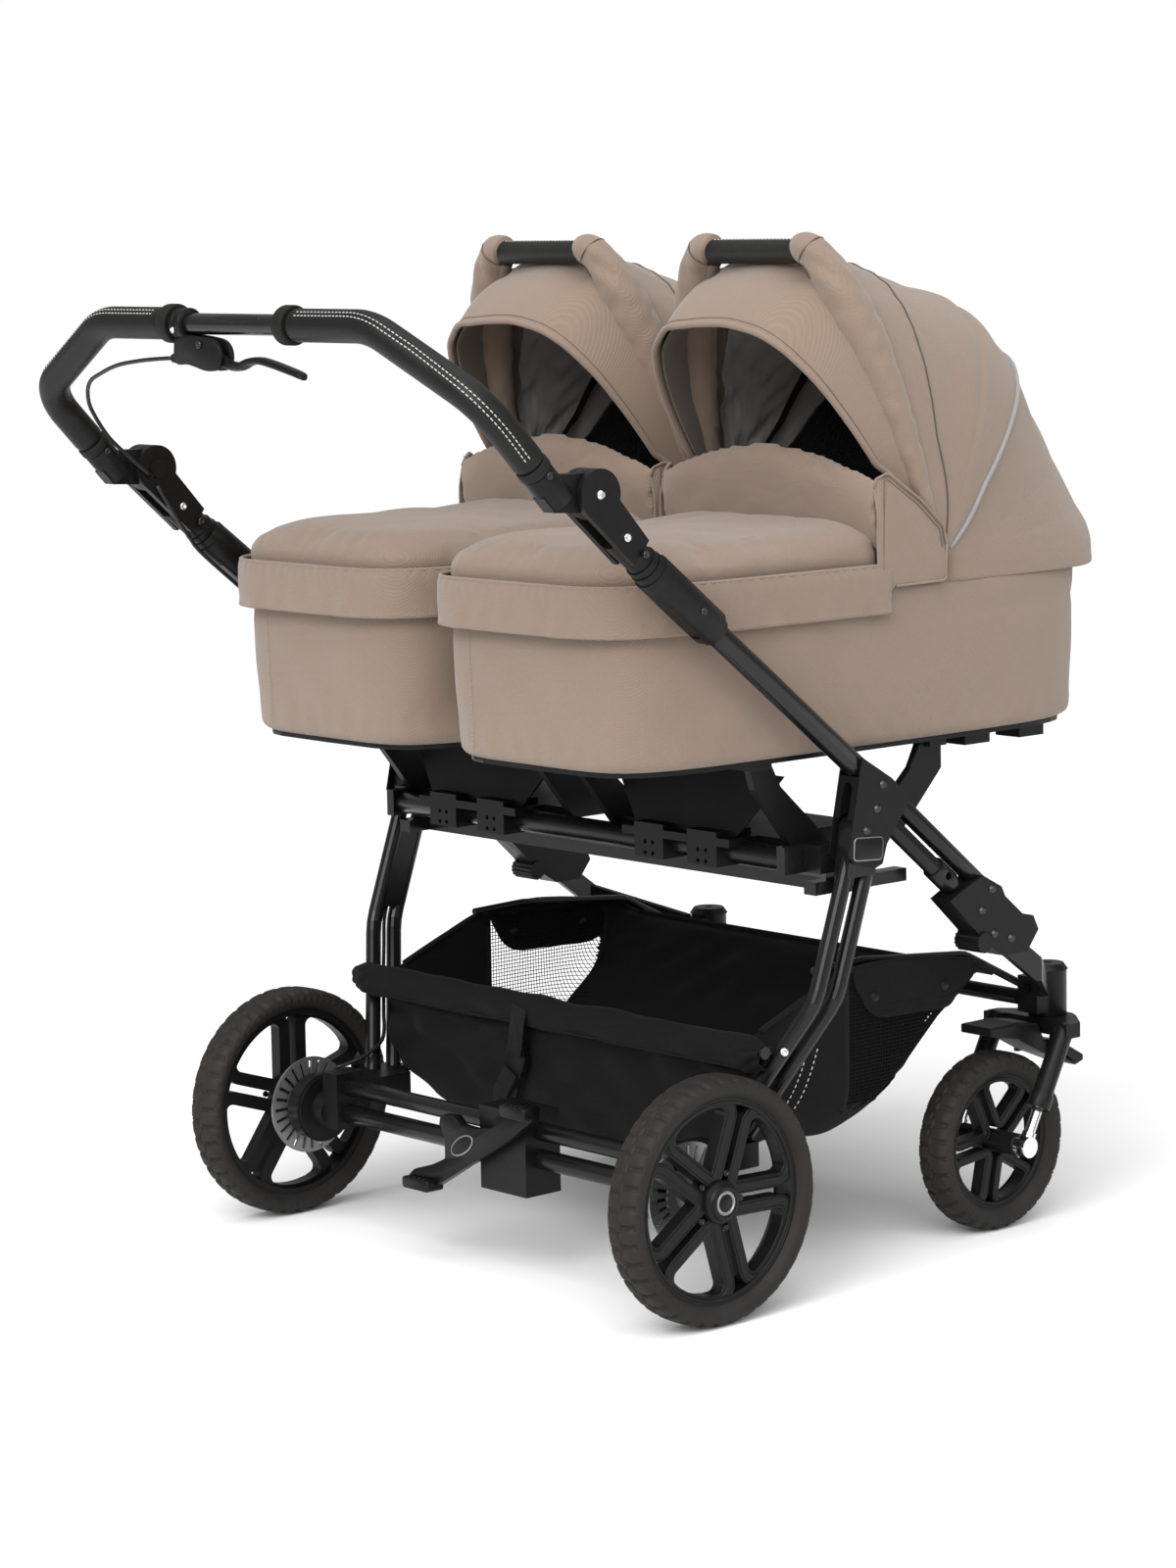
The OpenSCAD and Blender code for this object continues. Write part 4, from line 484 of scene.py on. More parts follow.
finishOf = {
    "side_plates": blackPlastic, "cross_members": satinMetal, "front_legs": satinMetal, "front_brackets": blackPlastic,
    "front_arms": satinMetal, "swivel_housings": blackPlastic, "cot_cradles": blackPlastic, "frame_rivets": darkSteel,
    "push_tubes": glossTube, "tube_sleeves": blackPlastic, "lower_knuckles": blackPlastic, "knuckle_pins": chrome,
    "grip_collars": softRubber, "upper_knuckles": blackPlastic, "lever_bracket": blackPlastic,
    "brake_lever": blackPlastic, "button": blackPlastic, "rear_legs": satinMetal, "rear_axle": satinMetal,
    "axle_castings": blackPlastic, "brake_housings": blackPlastic, "basket_rail": satinMetal,
    "brake_pedal": blackPlastic, "rear_rim": blackPlastic, "rear_hub": greySteel, "fork": blackPlastic,
    "slider": chrome, "front_rim": blackPlastic, "swivel_lock": blackPlastic, "cot_base": blackPlastic,
}
smallEdge = {"frame_rivets": 0.0004, "knuckle_pins": 0.0004, "rear_hub": 0.0005, "grip_collars": 0.002,
             "slider": 0.0006, "axle_castings": 0.004, "fork": 0.0035, "swivel_lock": 0.0035, "side_plates": 0.0025,
             "front_brackets": 0.0025, "front_legs": 0.001, "push_tubes": 0.001, "rear_axle": 0.001,
             "cot_base": 0.0008}


def dressFrame():
    for name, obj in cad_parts.items():
        key = name if name in finishOf else name.rsplit("_", 1)[0]
        if key not in finishOf:
            continue
        obj.data.materials.clear()
        obj.data.materials.append(finishOf[key])
        roundEdges(obj, smallEdge.get(key, 0.0015), weld=True)


dressFrame()
print("frame dressed")

# brake cable: three lengths, each on the body that carries it
frameX, pushAngle, pushFoot = 371, math.radians(38.3), (230, 547)
cable = {"width": 4.5, "bead": 351.65, "points": 40}


def onPush(along, above, outward):
    # place on the left push tube: distance up the tube, height above it, distance out from the frame plane
    y, z = pushFoot
    return [-(frameX + outward), y - along * math.cos(pushAngle) + above * math.sin(pushAngle),
            z + along * math.sin(pushAngle) + above * math.cos(pushAngle)]


cableRoutes = {
    "cable_loop": ("handlebar", [
        (-104.8, -321, 1010), (-140, -322, 1008), (-170, -320, 1005.5), (-200, -318, 1002), (-228, -313, 997),
        (-255, -308, 990), (-280, -301, 983.5), (-300, -292, 975), (-317, -281, 965), (-330, -270, 953),
        (-339, -257, 940), (-345, -245, 928), (-349, -232, 915), (-cable["bead"], -216, 902),
        (-cable["bead"], -200, 889), (-cable["bead"], -186, 878), (-cable["bead"], -174, 869)]),
    "cable_run": ("push_frame", [onPush(*place) for place in (
        (505, -2.5, -19.35), (480, -10, -19.35), (455, -18, -19.35), (430, -22, -15), (410, -24.5, -11),
        (350, -25, -9), (290, -24.5, -9), (245, -20, -9), (200, -17, -9), (130, -17, -9), (75, -17, -9))]),
    "leg_cable": ("rear_frame", [
        (-371, 161, 339.6), (-370, 156, 322), (-358, 145, 296), (-345, 133, 270), (-332, 122, 246),
        (-318, 110, 222), (-303, 98, 208), (-292, 84, 197), (-291, 60, 185), (-296, 40, 178), (-302, 24, 174)]),
}


def layCables():
    for node, (body, points) in cableRoutes.items():
        path = throughPoints(work(points), cable["points"])
        piece = tube("brake_" + node, path, cable["width"] / 2000, cableJacket, body, "cable", 14, replaces=(node,))


layCables()
print("cables laid")

# handlebar: one bent tube, two stitched grips
handle = {"tube": 11.0, "bends": (88, 58), "grip": 17.0, "end": 5.0, "taper": 1.6, "points": 220,
          "stitch": (0.0056, 0.004, 0.00062), "rows": (-0.15, 0.15)}
seamLean = np.array([(0, -0.69, 0.72), (0, -0.69, 0.72), (0.43, -0.66, 0.61), (0.9, -0.32, -0.28),
                     (0.88, -0.35, -0.32)])
leanAt = (0, 0.25, 0.52, 0.85, 1)  # where along the grip the seam looks each way
armDir = np.array([0, 60, -63]) / math.hypot(60, 63)
armTop, armEnd = np.array([frameX, -298, 970]), np.array([frameX, -238, 907])
barEnd, gripStart = np.array([227, -321, 1046]), np.array([107, -321, 1046])
stitch = {"points": 400, "height": 0.6}


def dashes(name, path, out, step, long, wide, material, body, slot):
    # row of thread stitches: low four-sided humps laid along a path, lifted off the surface
    path = evenly(path, stitch["points"])
    count = max(2, int(lengthOf(path) / step))
    run = unit(np.gradient(path, axis=0))
    place = np.linspace(0.5, count - 0.5, count) / count * (len(path) - 1)
    pick = lambda a: np.stack([np.interp(place, np.arange(len(path)), a[:, k]) for k in range(3)], -1)
    at, along = pick(path), unit(pick(run))
    lift = unit(pick(np.broadcast_to(np.asarray(out, float), path.shape)))
    lift = unit(lift - (lift * along).sum(1, keepdims=True) * along)
    across = np.cross(along, lift)
    t = np.array([-0.5, -0.3, 0.3, 0.5]) * long
    w = np.array([0.35, 1.0, 1.0, 0.35]) * wide
    h = np.array([0.1, 1.0, 1.0, 0.1]) * wide * stitch["height"]
    ring = np.array([[-1, -0.6], [-0.6, 0.8], [0.6, 0.8], [1, -0.6]])
    grid = (at[:, None, None] + t[None, :, None, None] * along[:, None, None]
            + (w[None, :, None, None] * ring[None, None, :, :1]) * across[:, None, None]
            + (h[None, :, None, None] * ring[None, None, :, 1:]) * lift[:, None, None])
    ends = np.array([[3, 2, 1, 0], [12, 13, 14, 15]])
    faces = turnedOut(grid[0].reshape(-1, 3), np.vstack([quads(4, 4, wrapCols=True)[1], ends]))
    everyFace = (faces[None] + 16 * np.arange(count)[:, None, None]).reshape(-1, 4)
    return meshPiece(name, grid.reshape(-1, 3), everyFace, material, body, slot)


def buildHandle():
    half = [barEnd, armTop, armEnd + armDir * 25.7]
    bends = np.array(handle["bends"]) / 1000
    mirrored = [p * (-1, 1, 1) for p in half[::-1]]
    tube("handle_bar", bent(work(mirrored + half), np.concatenate([bends[::-1], bends]), 12), handle["tube"] / 1000,
         glossTube, "handlebar", "frame_metal", 40, (0, 1, 0), replaces=("handle_tube",))
    n = handle["points"]
    for label, s in sides.items():
        route = [gripStart, barEnd, armTop, armEnd - armDir * 6]
        path = evenly(bent(work([p * (s, 1, 1) for p in route]), bends, 16), n)
        far = np.minimum(np.arange(n), np.arange(n)[::-1]) / (n - 1) * lengthOf(path) * 1000
        radius = handle["grip"] - handle["taper"] * (1 - smooth01(far / handle["end"]))
        grip = tube("grip_" + label, path, radius / 1000, leatherette, "handlebar", "grip", 48, (0, 1, 0),
                    replaces=("handle_grips",) if s > 0 else ())
        run = unit(np.gradient(path, axis=0))
        share = np.linspace(0, 1, n)
        seam = np.stack([np.interp(share, leanAt, seamLean[:, k]) for k in range(3)], -1) * (s, 1, 1)
        seam = unit(seam - (seam * run).sum(1, keepdims=True) * run)  # top of the bar, then the outer side of the arm
        for k, turn in enumerate(handle["rows"]):  # a row either side of the seam
            out = math.cos(turn) * seam + math.sin(turn) * np.cross(run, seam)
            line = path + out * (handle["grip"] + 0.05) / 1000
            dashes(f"grip_stitch_{label}_{k}", line[8:-8], evenly(out[8:-8], stitch["points"]), *handle["stitch"],
                   whiteThread, "handlebar", "grip")


buildHandle()
print("handlebar built")

# carrycots: everything is worked out in millimetres round the cot's own middle
cot = {"n": 5.7, "half": (163.0, 358.0), "wall": 9.0, "z": (580.1, 752.0), "corner": 13.0, "around": 288}
apron = {"half": (171.0, 379.0), "edge": 12.0, "hem": 722.0, "seam": 774.0, "voxel": 0.0055, "cap": 0.009,
         "rings": ((760, 12), (766, 5), (776, 3.5), (786, 4.5), (797, 12), (804, 34), (808, 74), (810, 125))}
guard = {"base": 786.0, "side": 866.0, "mid": 908.0, "lean": 16.0, "thick": 10.0, "half": 168.5, "voxel": 0.0042,
         "cap": 0.009}
mattress = {"half": (143.0, 342.0), "rings": ((590, 10), (597, 2), (622, 2), (631, 6), (636, 22), (638, 60)),
            "voxel": 0.0075, "cap": 0.006, "floor": 0.5894, "side": 0.1445}
swelling = {"pressure": 4.0, "frames": 20, "quality": 5, "mass": 0.3, "stretch": 15, "bend": 0.6}


def atCot(points, s):
    return np.asarray(points, float) / 1000 + np.array([s * cotAt["x"], cotAt["y"], 0])


def ringShare(n, half, count):
    # even steps round a superellipse, as shares of its half width and half length
    a = np.linspace(0, 2 * np.pi, 6001)
    c, s = np.cos(a), np.sin(a)
    ring = np.stack([half[0] * np.sign(c) * np.abs(c) ** (2 / n), half[1] * np.sign(s) * np.abs(s) ** (2 / n)], -1)
    return evenly(ring, count + 1)[:-1] / np.asarray(half)


def onCots(name, grid, material, part, slot, replaces=(), **options):
    # the same surface on both cots
    out = {}
    for label, s in sides.items():
        out[label] = gridPiece(f"{name}_{label}", atCot(grid, s), material, f"{part}_{label}", slot,
                               replaces=tuple(f"{r}_{label}" for r in replaces), **options)
    return out


def lineOnCots(name, path, radius, material, part, slot, count=8):
    return onCots(name, sweep(np.asarray(path, float), radius, count), material, part, slot, ring=True)


def coordsOf(mesh):
    flat = np.empty(len(mesh.vertices) * 3)
    mesh.vertices.foreach_get("co", flat)
    return flat.reshape(-1, 3)


def puffed(name, points, faces, voxel, cap):
    # closed shape remeshed, then swollen by cloth pressure; no point moves further than the cap
    mesh = bpy.data.meshes.new(name)
    mesh.from_pydata(points.tolist(), [], [list(map(int, f)) for f in faces])
    rough = addObject(name, mesh)
    remesh = rough.modifiers.new("Voxels", "REMESH")
    remesh.mode, remesh.voxel_size = "VOXEL", voxel
    even = rough.modifiers.new("Even", "SMOOTH")
    even.iterations, even.factor = 4, 0.5
    graph = bpy.context.evaluated_depsgraph_get()
    body = bpy.data.meshes.new_from_object(rough.evaluated_get(graph))
    bpy.data.objects.remove(rough)
    start = end = coordsOf(body)
    skin = addObject(name, body)
    fabric = skin.modifiers.new("Fabric", "CLOTH")
    fabric.settings.quality, fabric.settings.mass = swelling["quality"], swelling["mass"]
    fabric.settings.tension_stiffness = fabric.settings.compression_stiffness = swelling["stretch"]
    fabric.settings.bending_stiffness = swelling["bend"]
    fabric.settings.use_pressure, fabric.settings.uniform_pressure_force = True, swelling["pressure"]
    fabric.settings.effector_weights.gravity = 0
    fabric.point_cache.frame_end = swelling["frames"]
    for step in range(1, swelling["frames"] + 1):
        bpy.context.scene.frame_set(step)
    graph = bpy.context.evaluated_depsgraph_get()
    end = coordsOf(skin.evaluated_get(graph).to_mesh())
    skin.evaluated_get(graph).to_mesh_clear()
    bpy.data.objects.remove(skin)
    bpy.context.scene.frame_set(1)
    move = end - start
    size = np.linalg.norm(move, axis=1, keepdims=True)
    end = start + move * (cap * np.tanh(size / cap) / np.maximum(size, 1e-9))
    faces = [list(p.vertices) for p in body.polygons]
    bpy.data.meshes.remove(body)
    print(name, len(end), "points")
    return end, faces


def padOnCots(name, points, faces, material, part, slot, replaces=()):
    for label, s in sides.items():
        pad = meshPiece(f"{name}_{label}", points + np.array([s * cotAt["x"], cotAt["y"], 0]), faces, material,
                        f"{part}_{label}", slot, replaces=tuple(f"{r}_{label}" for r in replaces))
        subdivide(pad)


def closedGrid(grid):
    # rings of points closed at both ends, as points and faces
    rows, cols = grid.shape[:2]
    faces = quads(rows, cols, wrapCols=True)[1].tolist()
    faces += [list(range(cols))[::-1], list(range((rows - 1) * cols, rows * cols))]
    return grid.reshape(-1, 3), faces


def buildTubs():
    # outer wall, turned rim, inner wall and floor carried round the tub as one profile of (inset, height)
    z0, z1 = cot["z"]
    r, wall = cot["corner"], cot["wall"]
    foot, rim = np.linspace(-np.pi / 2, 0, 7), np.linspace(0.2, np.pi - 0.2, 7)
    profile = [(60, z0), (30, z0)] + [(r - r * math.cos(a), z0 + r + r * math.sin(a)) for a in foot]
    profile += [(0, z) for z in np.linspace(z0 + r + 8, z1 - 6, 22)]
    profile += [(wall / 2 - wall / 2 * math.cos(a), z1 - 4.5 + 4.5 * math.sin(a)) for a in rim]
    profile += [(wall, z) for z in np.linspace(z1 - 8, z0 + 12, 8)] + [(wall + 8, z0 + 9.1), (wall + 40, z0 + 9.0)]
    profile = np.array(profile)
    share = ringShare(cot["n"], cot["half"], cot["around"])
    inset, z = profile[:, 0][:, None], profile[:, 1][:, None]
    up = smooth01((z - z0) / (z1 - z0))
    outer = (inset < 4) & (z > z0 + 2) & (z < z1 - 3)
    around = np.linspace(0, 1, cot["around"], endpoint=False)[None]
    pucker = np.sin(around * 2 * np.pi * 60 + 3 * ripple(around * 9, z / 90, 4)) * bump(z, z0 + 22, 16)
    soft = 0.9 * ripple(around * 16, (z - z0) / 95, 3) + 0.7 * pucker
    soft = soft - 1.2 * bump(z, z1 - 34, 8)  # the skirt presses the wall in
    swell = np.where(outer, soft + 1.6 * np.sin(np.pi * np.clip((z - z0) / (z1 - z0), 0, 1)), 0)
    hw = cot["half"][0] + 2 * up - inset + swell
    hl = cot["half"][1] + 6 * up - inset + swell
    grid = np.stack([hw * share[None, :, 0], hl * share[None, :, 1], np.broadcast_to(z, hw.shape)], -1)
    for tub in onCots("tub_cover", grid, beigeTwill, "cot", "beige_fabric", ("tub",), ring=True).values():
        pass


def apronPath(count, grow=0.0):
    # line round the foot half at the skirt, from the right edge to the left
    half = np.array(apron["half"]) + grow
    ring = ringShare(cot["n"], half, 2400) * half
    ring = ring[ring[:, 1] <= apron["edge"]]
    turn = np.arctan2(ring[:, 0], -ring[:, 1])
    return evenly(ring[np.argsort(-turn)], count)


def buildAprons():
    half, edge = np.array(apron["half"]), apron["edge"]
    low, high = apron["hem"], apron["seam"]
    path = apronPath(240)
    out = unit(np.stack([-np.gradient(path[:, 1]), np.gradient(path[:, 0])], -1))
    out *= np.sign((out * path).sum(1, keepdims=True))
    run = np.linspace(0, 1, len(path))[None]
    v = np.linspace(0, 1, 18)[:, None]
    z = low + (high - low) * v
    pucker = np.sin(run * 2 * np.pi * 75 + 2 * ripple(run * 12, v, 12)) * bump(v, 1, 0.28)
    wave = 1.1 * ripple(run * 22, v * 0.8, 11) * (1 - v) + 0.5 * pucker
    push = wave - 2.0 * bump(v, 1.0, 0.12) + 0.8 * bump(v, 0.03, 0.05)
    skirt = np.stack([path[None, :, 0] + out[None, :, 0] * push, path[None, :, 1] + out[None, :, 1] * push,
                      np.broadcast_to(z, push.shape)], -1)
    for label, piece in onCots("apron_skirt", skirt, beigeTwill, "cot", "beige_fabric").items():
        solidify(piece, 0.0022)
    for name, height, grow, radius, tone in (("piping", high, -1.2, 2.0, beigeTwill),
                                             ("stitch_top", high - 4.5, -0.3, 0.7, beigeSeam),
                                             ("stitch_hem", low + 7, 0.4, 0.6, beigeSeam)):
        line = apronPath(300, grow)
        line = np.column_stack([line, np.full(len(line), height)])
        lineOnCots("apron_" + name, line, radius, tone, "cot", "beige_fabric")
    share = ringShare(cot["n"], half, 160)
    grid = []
    for height, inset in apron["rings"]:
        p = share * (half - inset)
        p[:, 1] = np.minimum(p[:, 1], edge - 4)
        grid.append(np.column_stack([p, np.full(len(p), height)]))
    points, faces = closedGrid(np.array(grid) / 1000)
    points, faces = puffed("apron_pad", points, faces, apron["voxel"], apron["cap"])
    x, y, z = (points * 1000).T
    rim = np.maximum(np.abs(x) / half[0], -y / half[1])
    turn = np.arctan2(x * 2.2, -y)
    z = z + 0.8 * np.sin(turn * 42 + 3 * ripple(turn * 2, rim * 3, 14)) * bump(rim, 0.95, 0.07) * (z > 775)
    z = z + (1.4 * ripple(x / 150, y / 170, 15) + 7 * smooth01((y + 90) / 100)) * (z > 790)
    pad = np.column_stack([x, y, z]) / 1000
    padOnCots("apron_pad", pad, faces, beigeTwill, "cot", "beige_fabric", ("apron",))


def guardGrid(back, rows=16, cols=64):
    u = np.linspace(-1, 1, cols)[None]
    v = np.linspace(0, 1, rows)[:, None]
    top = guard["side"] + (guard["mid"] - guard["side"]) * (1 - u * u)
    crown = 1 - np.abs(2 * v - 1) ** 3
    y = apron["edge"] - guard["lean"] * v - back * (0.35 + 0.65 * crown) * guard["thick"]
    return np.stack([np.broadcast_to(u * guard["half"], (rows, cols)), np.broadcast_to(y, (rows, cols)),
                     guard["base"] + (top - guard["base"]) * v], -1)


def buildGuards():
    front, back = guardGrid(0), guardGrid(1)
    loop = np.concatenate([front, back[::-1]], 0).transpose(1, 0, 2)  # rings run up the front face and down the back
    points, faces = closedGrid(loop / 1000)
    points, faces = puffed("guard_pad", points, faces, guard["voxel"], guard["cap"])
    points[:, 1] += 0.0008 * ripple(points[:, 0] * 9, points[:, 2] * 14, 21)
    padOnCots("guard_pad", points, faces, beigeTwill, "cot", "beige_fabric")


tab = {"x": 171.0, "thick": 0.0017, "y": (-7, 98),
       "top": ((-7, 856), (-3, 865), (3, 870), (11, 872), (30, 860), (60, 840), (86, 819), (94, 810), (98, 796)),
       "low": ((-7, 722), (4, 735), (12, 745), (20, 751), (94, 751), (98, 756)),
       "edge": ((-6, 857), (-2, 866), (10, 872), (60, 840), (94, 811), (98, 792), (97, 752), (21, 751))}


def tabIn(y, z):
    # the upper rear corner turns in to the guard
    return 9.0 * smooth01((z - 828) / 44) * smooth01((16 - y) / 24)


def buildTabs():
    # side tab of the guard: a patch between two lines, crowned a little, piped along its free edge
    y0, y1 = tab["y"]
    y = np.linspace(y0, y1, 60)[None]
    v = np.linspace(0, 1, 40)[:, None]
    top, low = (np.interp(y, *np.array(tab[k]).T) for k in ("top", "low"))
    crown = np.sqrt(np.clip(np.sin(np.pi * v) * np.sin(np.pi * (y - y0) / (y1 - y0)), 0, 1))
    z = low + (top - low) * v
    x = tab["x"] + 1.6 * crown + 0.35 * ripple(y / 60, v * 2, 25) - tabIn(y, z)
    grid = np.stack([x, np.broadcast_to(y, crown.shape), z], -1)
    edge = bent(np.array([(tab["x"] + 0.6, *spot) for spot in tab["edge"]]), 5, 6)
    edge[:, 0] -= tabIn(edge[:, 1], edge[:, 2])
    for hand, side in ((1, "outer"), (-1, "inner")):
        name = "guard_tab_" + side
        for label, piece in onCots(name, grid * (hand, 1, 1), beigeTwill, "cot", "beige_fabric", flip=hand < 0).items():
            solidify(piece, tab["thick"])
        lineOnCots("tab_piping_" + side, edge * (hand, 1, 1), 1.5, beigeTwill, "cot", "beige_fabric")
        for k, inset in enumerate((3.2, 7.0)):
            row = edge[8:] * (hand, 1, 1) + np.array([hand * 0.9, -inset, -inset * 0.5])
            lineOnCots(f"tab_seam_{side}_{k}", row[: -8], 0.4, beigeSeam, "cot", "beige_fabric", 6)
        line = np.array([(hand * 171.7, 3 - 2 * t, 866 - 108 * t) for t in np.linspace(0, 1, 30)])
        lineOnCots("tab_stitch_" + side, line, 0.45, beigeSeam, "cot", "beige_fabric", 6)


def buildMattresses():
    half = np.array(mattress["half"])
    share = ringShare(cot["n"], half, 128)
    grid = np.array([np.column_stack([share * (half - i), np.full(128, z)]) for z, i in mattress["rings"]])
    points, faces = closedGrid(grid / 1000)
    points, faces = puffed("mattress_pad", points, faces, mattress["voxel"], mattress["cap"])
    points[:, 2] = np.maximum(points[:, 2], mattress["floor"])
    points[:, 0] = np.clip(points[:, 0], -mattress["side"], mattress["side"])
    padOnCots("mattress_pad", points, faces, liningGrey, "cot", "lining", ("mattress",))


buildTubs()
buildAprons()
buildGuards()
buildTabs()
buildMattresses()
print("carrycots built")

# hoods: one sheet fanned about the pivot line, by angle from straight ahead and share of the way across
hood = {"pivot": (96.0, 775.0), "root": 4.0, "half": 168.4, "radius": 350.0, "turn": 19.5, "rooted": 130.0,
        "visor": (0.88, 0.905, 3.1), "hem": 749.0, "wall": 0.0022, "hoop": 108.4, "grip": 350.0, "rows": 150,
        "cols": 161, "first": -4.0, "last": 107.0, "still": 57, "give": 0.27}
hoodReach = np.array([(-4, 0.889), (2, 0.917), (12, 0.872), (22, 0.846), (34, 0.828), (46, 0.858), (56, 0.884),
                      (60, 0.886), (75, 0.88), (88, 0.884), (98, 0.950), (104, 1.005), (107, 1.008)])
hoodSquare = np.array([(-4, 4.5), (2, 3.7), (8, 3.1), (20, 2.7), (107, 2.7)])
seamAngles = {"front": 91.0, "crease": 62.0, "piping": 46.5}


def fanProfile(share, half, reach, n):
    # across the hood: half width by radius, as part of a superellipse that starts at the root radius
    low = np.arcsin((hood["root"] / reach) ** (n / 2))
    a = low + (np.pi - 2 * low) * share
    return -half * np.sign(np.cos(a)) * np.abs(np.cos(a)) ** (2 / n), reach * np.sin(a) ** (2 / n)


def softTable(angle, table, width=2.5):
    # table value averaged over a few degrees, so that corners turn into curves
    steps = np.linspace(-1, 1, 9) * width
    return np.mean([np.interp(angle + s, table[:, 0], table[:, 1]) for s in steps], axis=0)


def hoodSurface(angle, share, visor, inset=0.0):
    # point of the fan; visor 0..1 carries it forward past the hoop and narrows it
    n = np.interp(angle, hoodSquare[:, 0], hoodSquare[:, 1]) * (1 - visor) + hood["visor"][2] * visor
    half = hood["half"] - 3 * smooth01((57 - angle) / 20) - inset
    reach = hood["radius"] * softTable(angle, hoodReach) * (1 - visor + visor * hood["visor"][1]) - inset
    x, rad = fanProfile(share, half, reach, n)
    free = visor * np.minimum(1, rad / hood["rooted"])
    x = x * (1 - free + free * hood["visor"][0])
    turned = angle + free * hood["turn"]
    grip = smooth01((98 - np.abs(x)) / 30)
    dip = 14.5 * grip * bump(turned, 108.5, 6.5)  # sheet lies under the grip
    across = smooth01(rad / 90)
    crease = 5.5 * bump(angle, seamAngles["crease"] + 3 * share, 1.8)
    sag = across * (6.5 * bump(angle, 77, 7.5) + 4.0 * bump(angle, 54, 4) + crease)  # slack between the seams
    tight = across * (3.0 * bump(angle, seamAngles["front"], 2.2) + 3.0 * bump(angle, seamAngles["piping"], 2.5))
    pucker = 0.8 * np.sin(share * 120 + angle * 0.4) * bump(angle, seamAngles["front"] - 1, 5)
    fold = across * (0.9 * ripple(share * 7, angle / 26, 31) + pucker
                     + 1.6 * ripple(share * 3, angle / 9, 32) * bump(angle, 98, 8))
    rad = rad - dip - sag + tight * 0.6 + fold
    t = np.radians(turned)
    return np.stack([x, hood["pivot"][0] + rad * np.cos(t), hood["pivot"][1] + rad * np.sin(t)], -1)


def hoodGrid(first, visorEnd, inset, rows, cols):
    main, peak = np.linspace(first, hood["last"], rows), np.linspace(0, visorEnd, rows // 5)[1:]
    angle = np.concatenate([main, np.full(len(peak), hood["last"])])[:, None]
    visor = np.concatenate([np.zeros(len(main)), peak])[:, None]
    angle, share, visor = np.broadcast_arrays(angle, np.linspace(0, 1, cols)[None], visor)
    return hoodSurface(angle, share, visor, inset)


def visorLine(span, visor, inset=0.0, count=200):
    # line across the visor, at a share of its way forward
    return hoodSurface(np.full(count, hood["last"]), np.linspace(*span, count), np.full(count, visor), inset)


def hoodBlend(piece):
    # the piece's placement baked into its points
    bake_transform(piece)


def blended(name, grid, material, slot, replaces=(), **options):
    out = {}
    for label, s in sides.items():
        piece = gridPiece(f"{name}_{label}", atCot(grid, s), material, None, slot,
                          replaces=tuple(f"{r}_{label}" for r in replaces), **options)
        out[label] = piece
        hoodBlend(piece)
    return out


def buildHoods():
    grid = hoodGrid(hood["first"], 1.0, 0.0, hood["rows"], hood["cols"])
    drop = np.linspace(1, 0, 7)[:-1, None, None]  # hem: the lowest row carried down over the tub rim and curled under
    hem = grid[:1] + drop * (np.array([0, 0, 1]) * (hood["hem"] - grid[:1, :, 2:]))
    curl = 5.0 * np.clip(drop - 0.6, 0, 1) ** 2 / 0.16 * smooth01((hem[..., 1:2] - 250) / 120)
    hem[..., 1:2] -= curl
    grid = np.concatenate([hem, grid])
    sheets = blended("hood_sheet", grid, beigeTwill, "beige_fabric", ("hood_rear", "hood_front"), flip=True)
    for label, piece in sheets.items():
        solidify(piece, hood["wall"])
    share = np.linspace(0.006, 0.994, 200)
    edge = np.abs(share - 0.5)
    front = seamAngles["front"] - 12 * smooth01((edge - 0.4) / 0.09)
    piping = seamAngles["piping"] - 8 * smooth01((edge - 0.42) / 0.08)
    for name, angle, radius, tone in (("front", front, 0.9, beigeSeam), ("piping", piping, 2.6, pipingGrey)):
        line = hoodSurface(angle, share, 0 * share, -0.5)
        blended("hood_seam_" + name, sweep(line, radius, 8), tone, "beige_fabric", ring=True)
    blended("visor_roll", sweep(visorLine((0.01, 0.99), 1.0), 3.6, 12), beigeTwill, "beige_fabric", ring=True)
    stitches = visorLine((0.03, 0.97), 0.93, -0.1)
    blended("visor_stitch", sweep(stitches, 0.4, 6), beigeSeam, "beige_fabric", ring=True)


def hoopPoint(x, rad):
    # place on the carry hoop's plane, by distance across and from the pivot line
    t = math.radians(hood["hoop"])
    x, rad = np.broadcast_arrays(np.asarray(x, float), np.asarray(rad, float))
    return np.stack([x, hood["pivot"][0] + rad * math.cos(t), hood["pivot"][1] + rad * math.sin(t)], -1)


tunnel = {"x": (70, 75, 84, 96, 108, 119, 131, 143, 154, 160, 163),
          "rad": (352, 353, 350, 336, 314, 288, 253, 205, 145, 85, 42), "points": 120, "around": 36,
          "r": (17.0, 19.0, 23.0, 24.5, 23.0, 20.5, 18.0, 15.5, 13.0, 10.5, 7.0)}


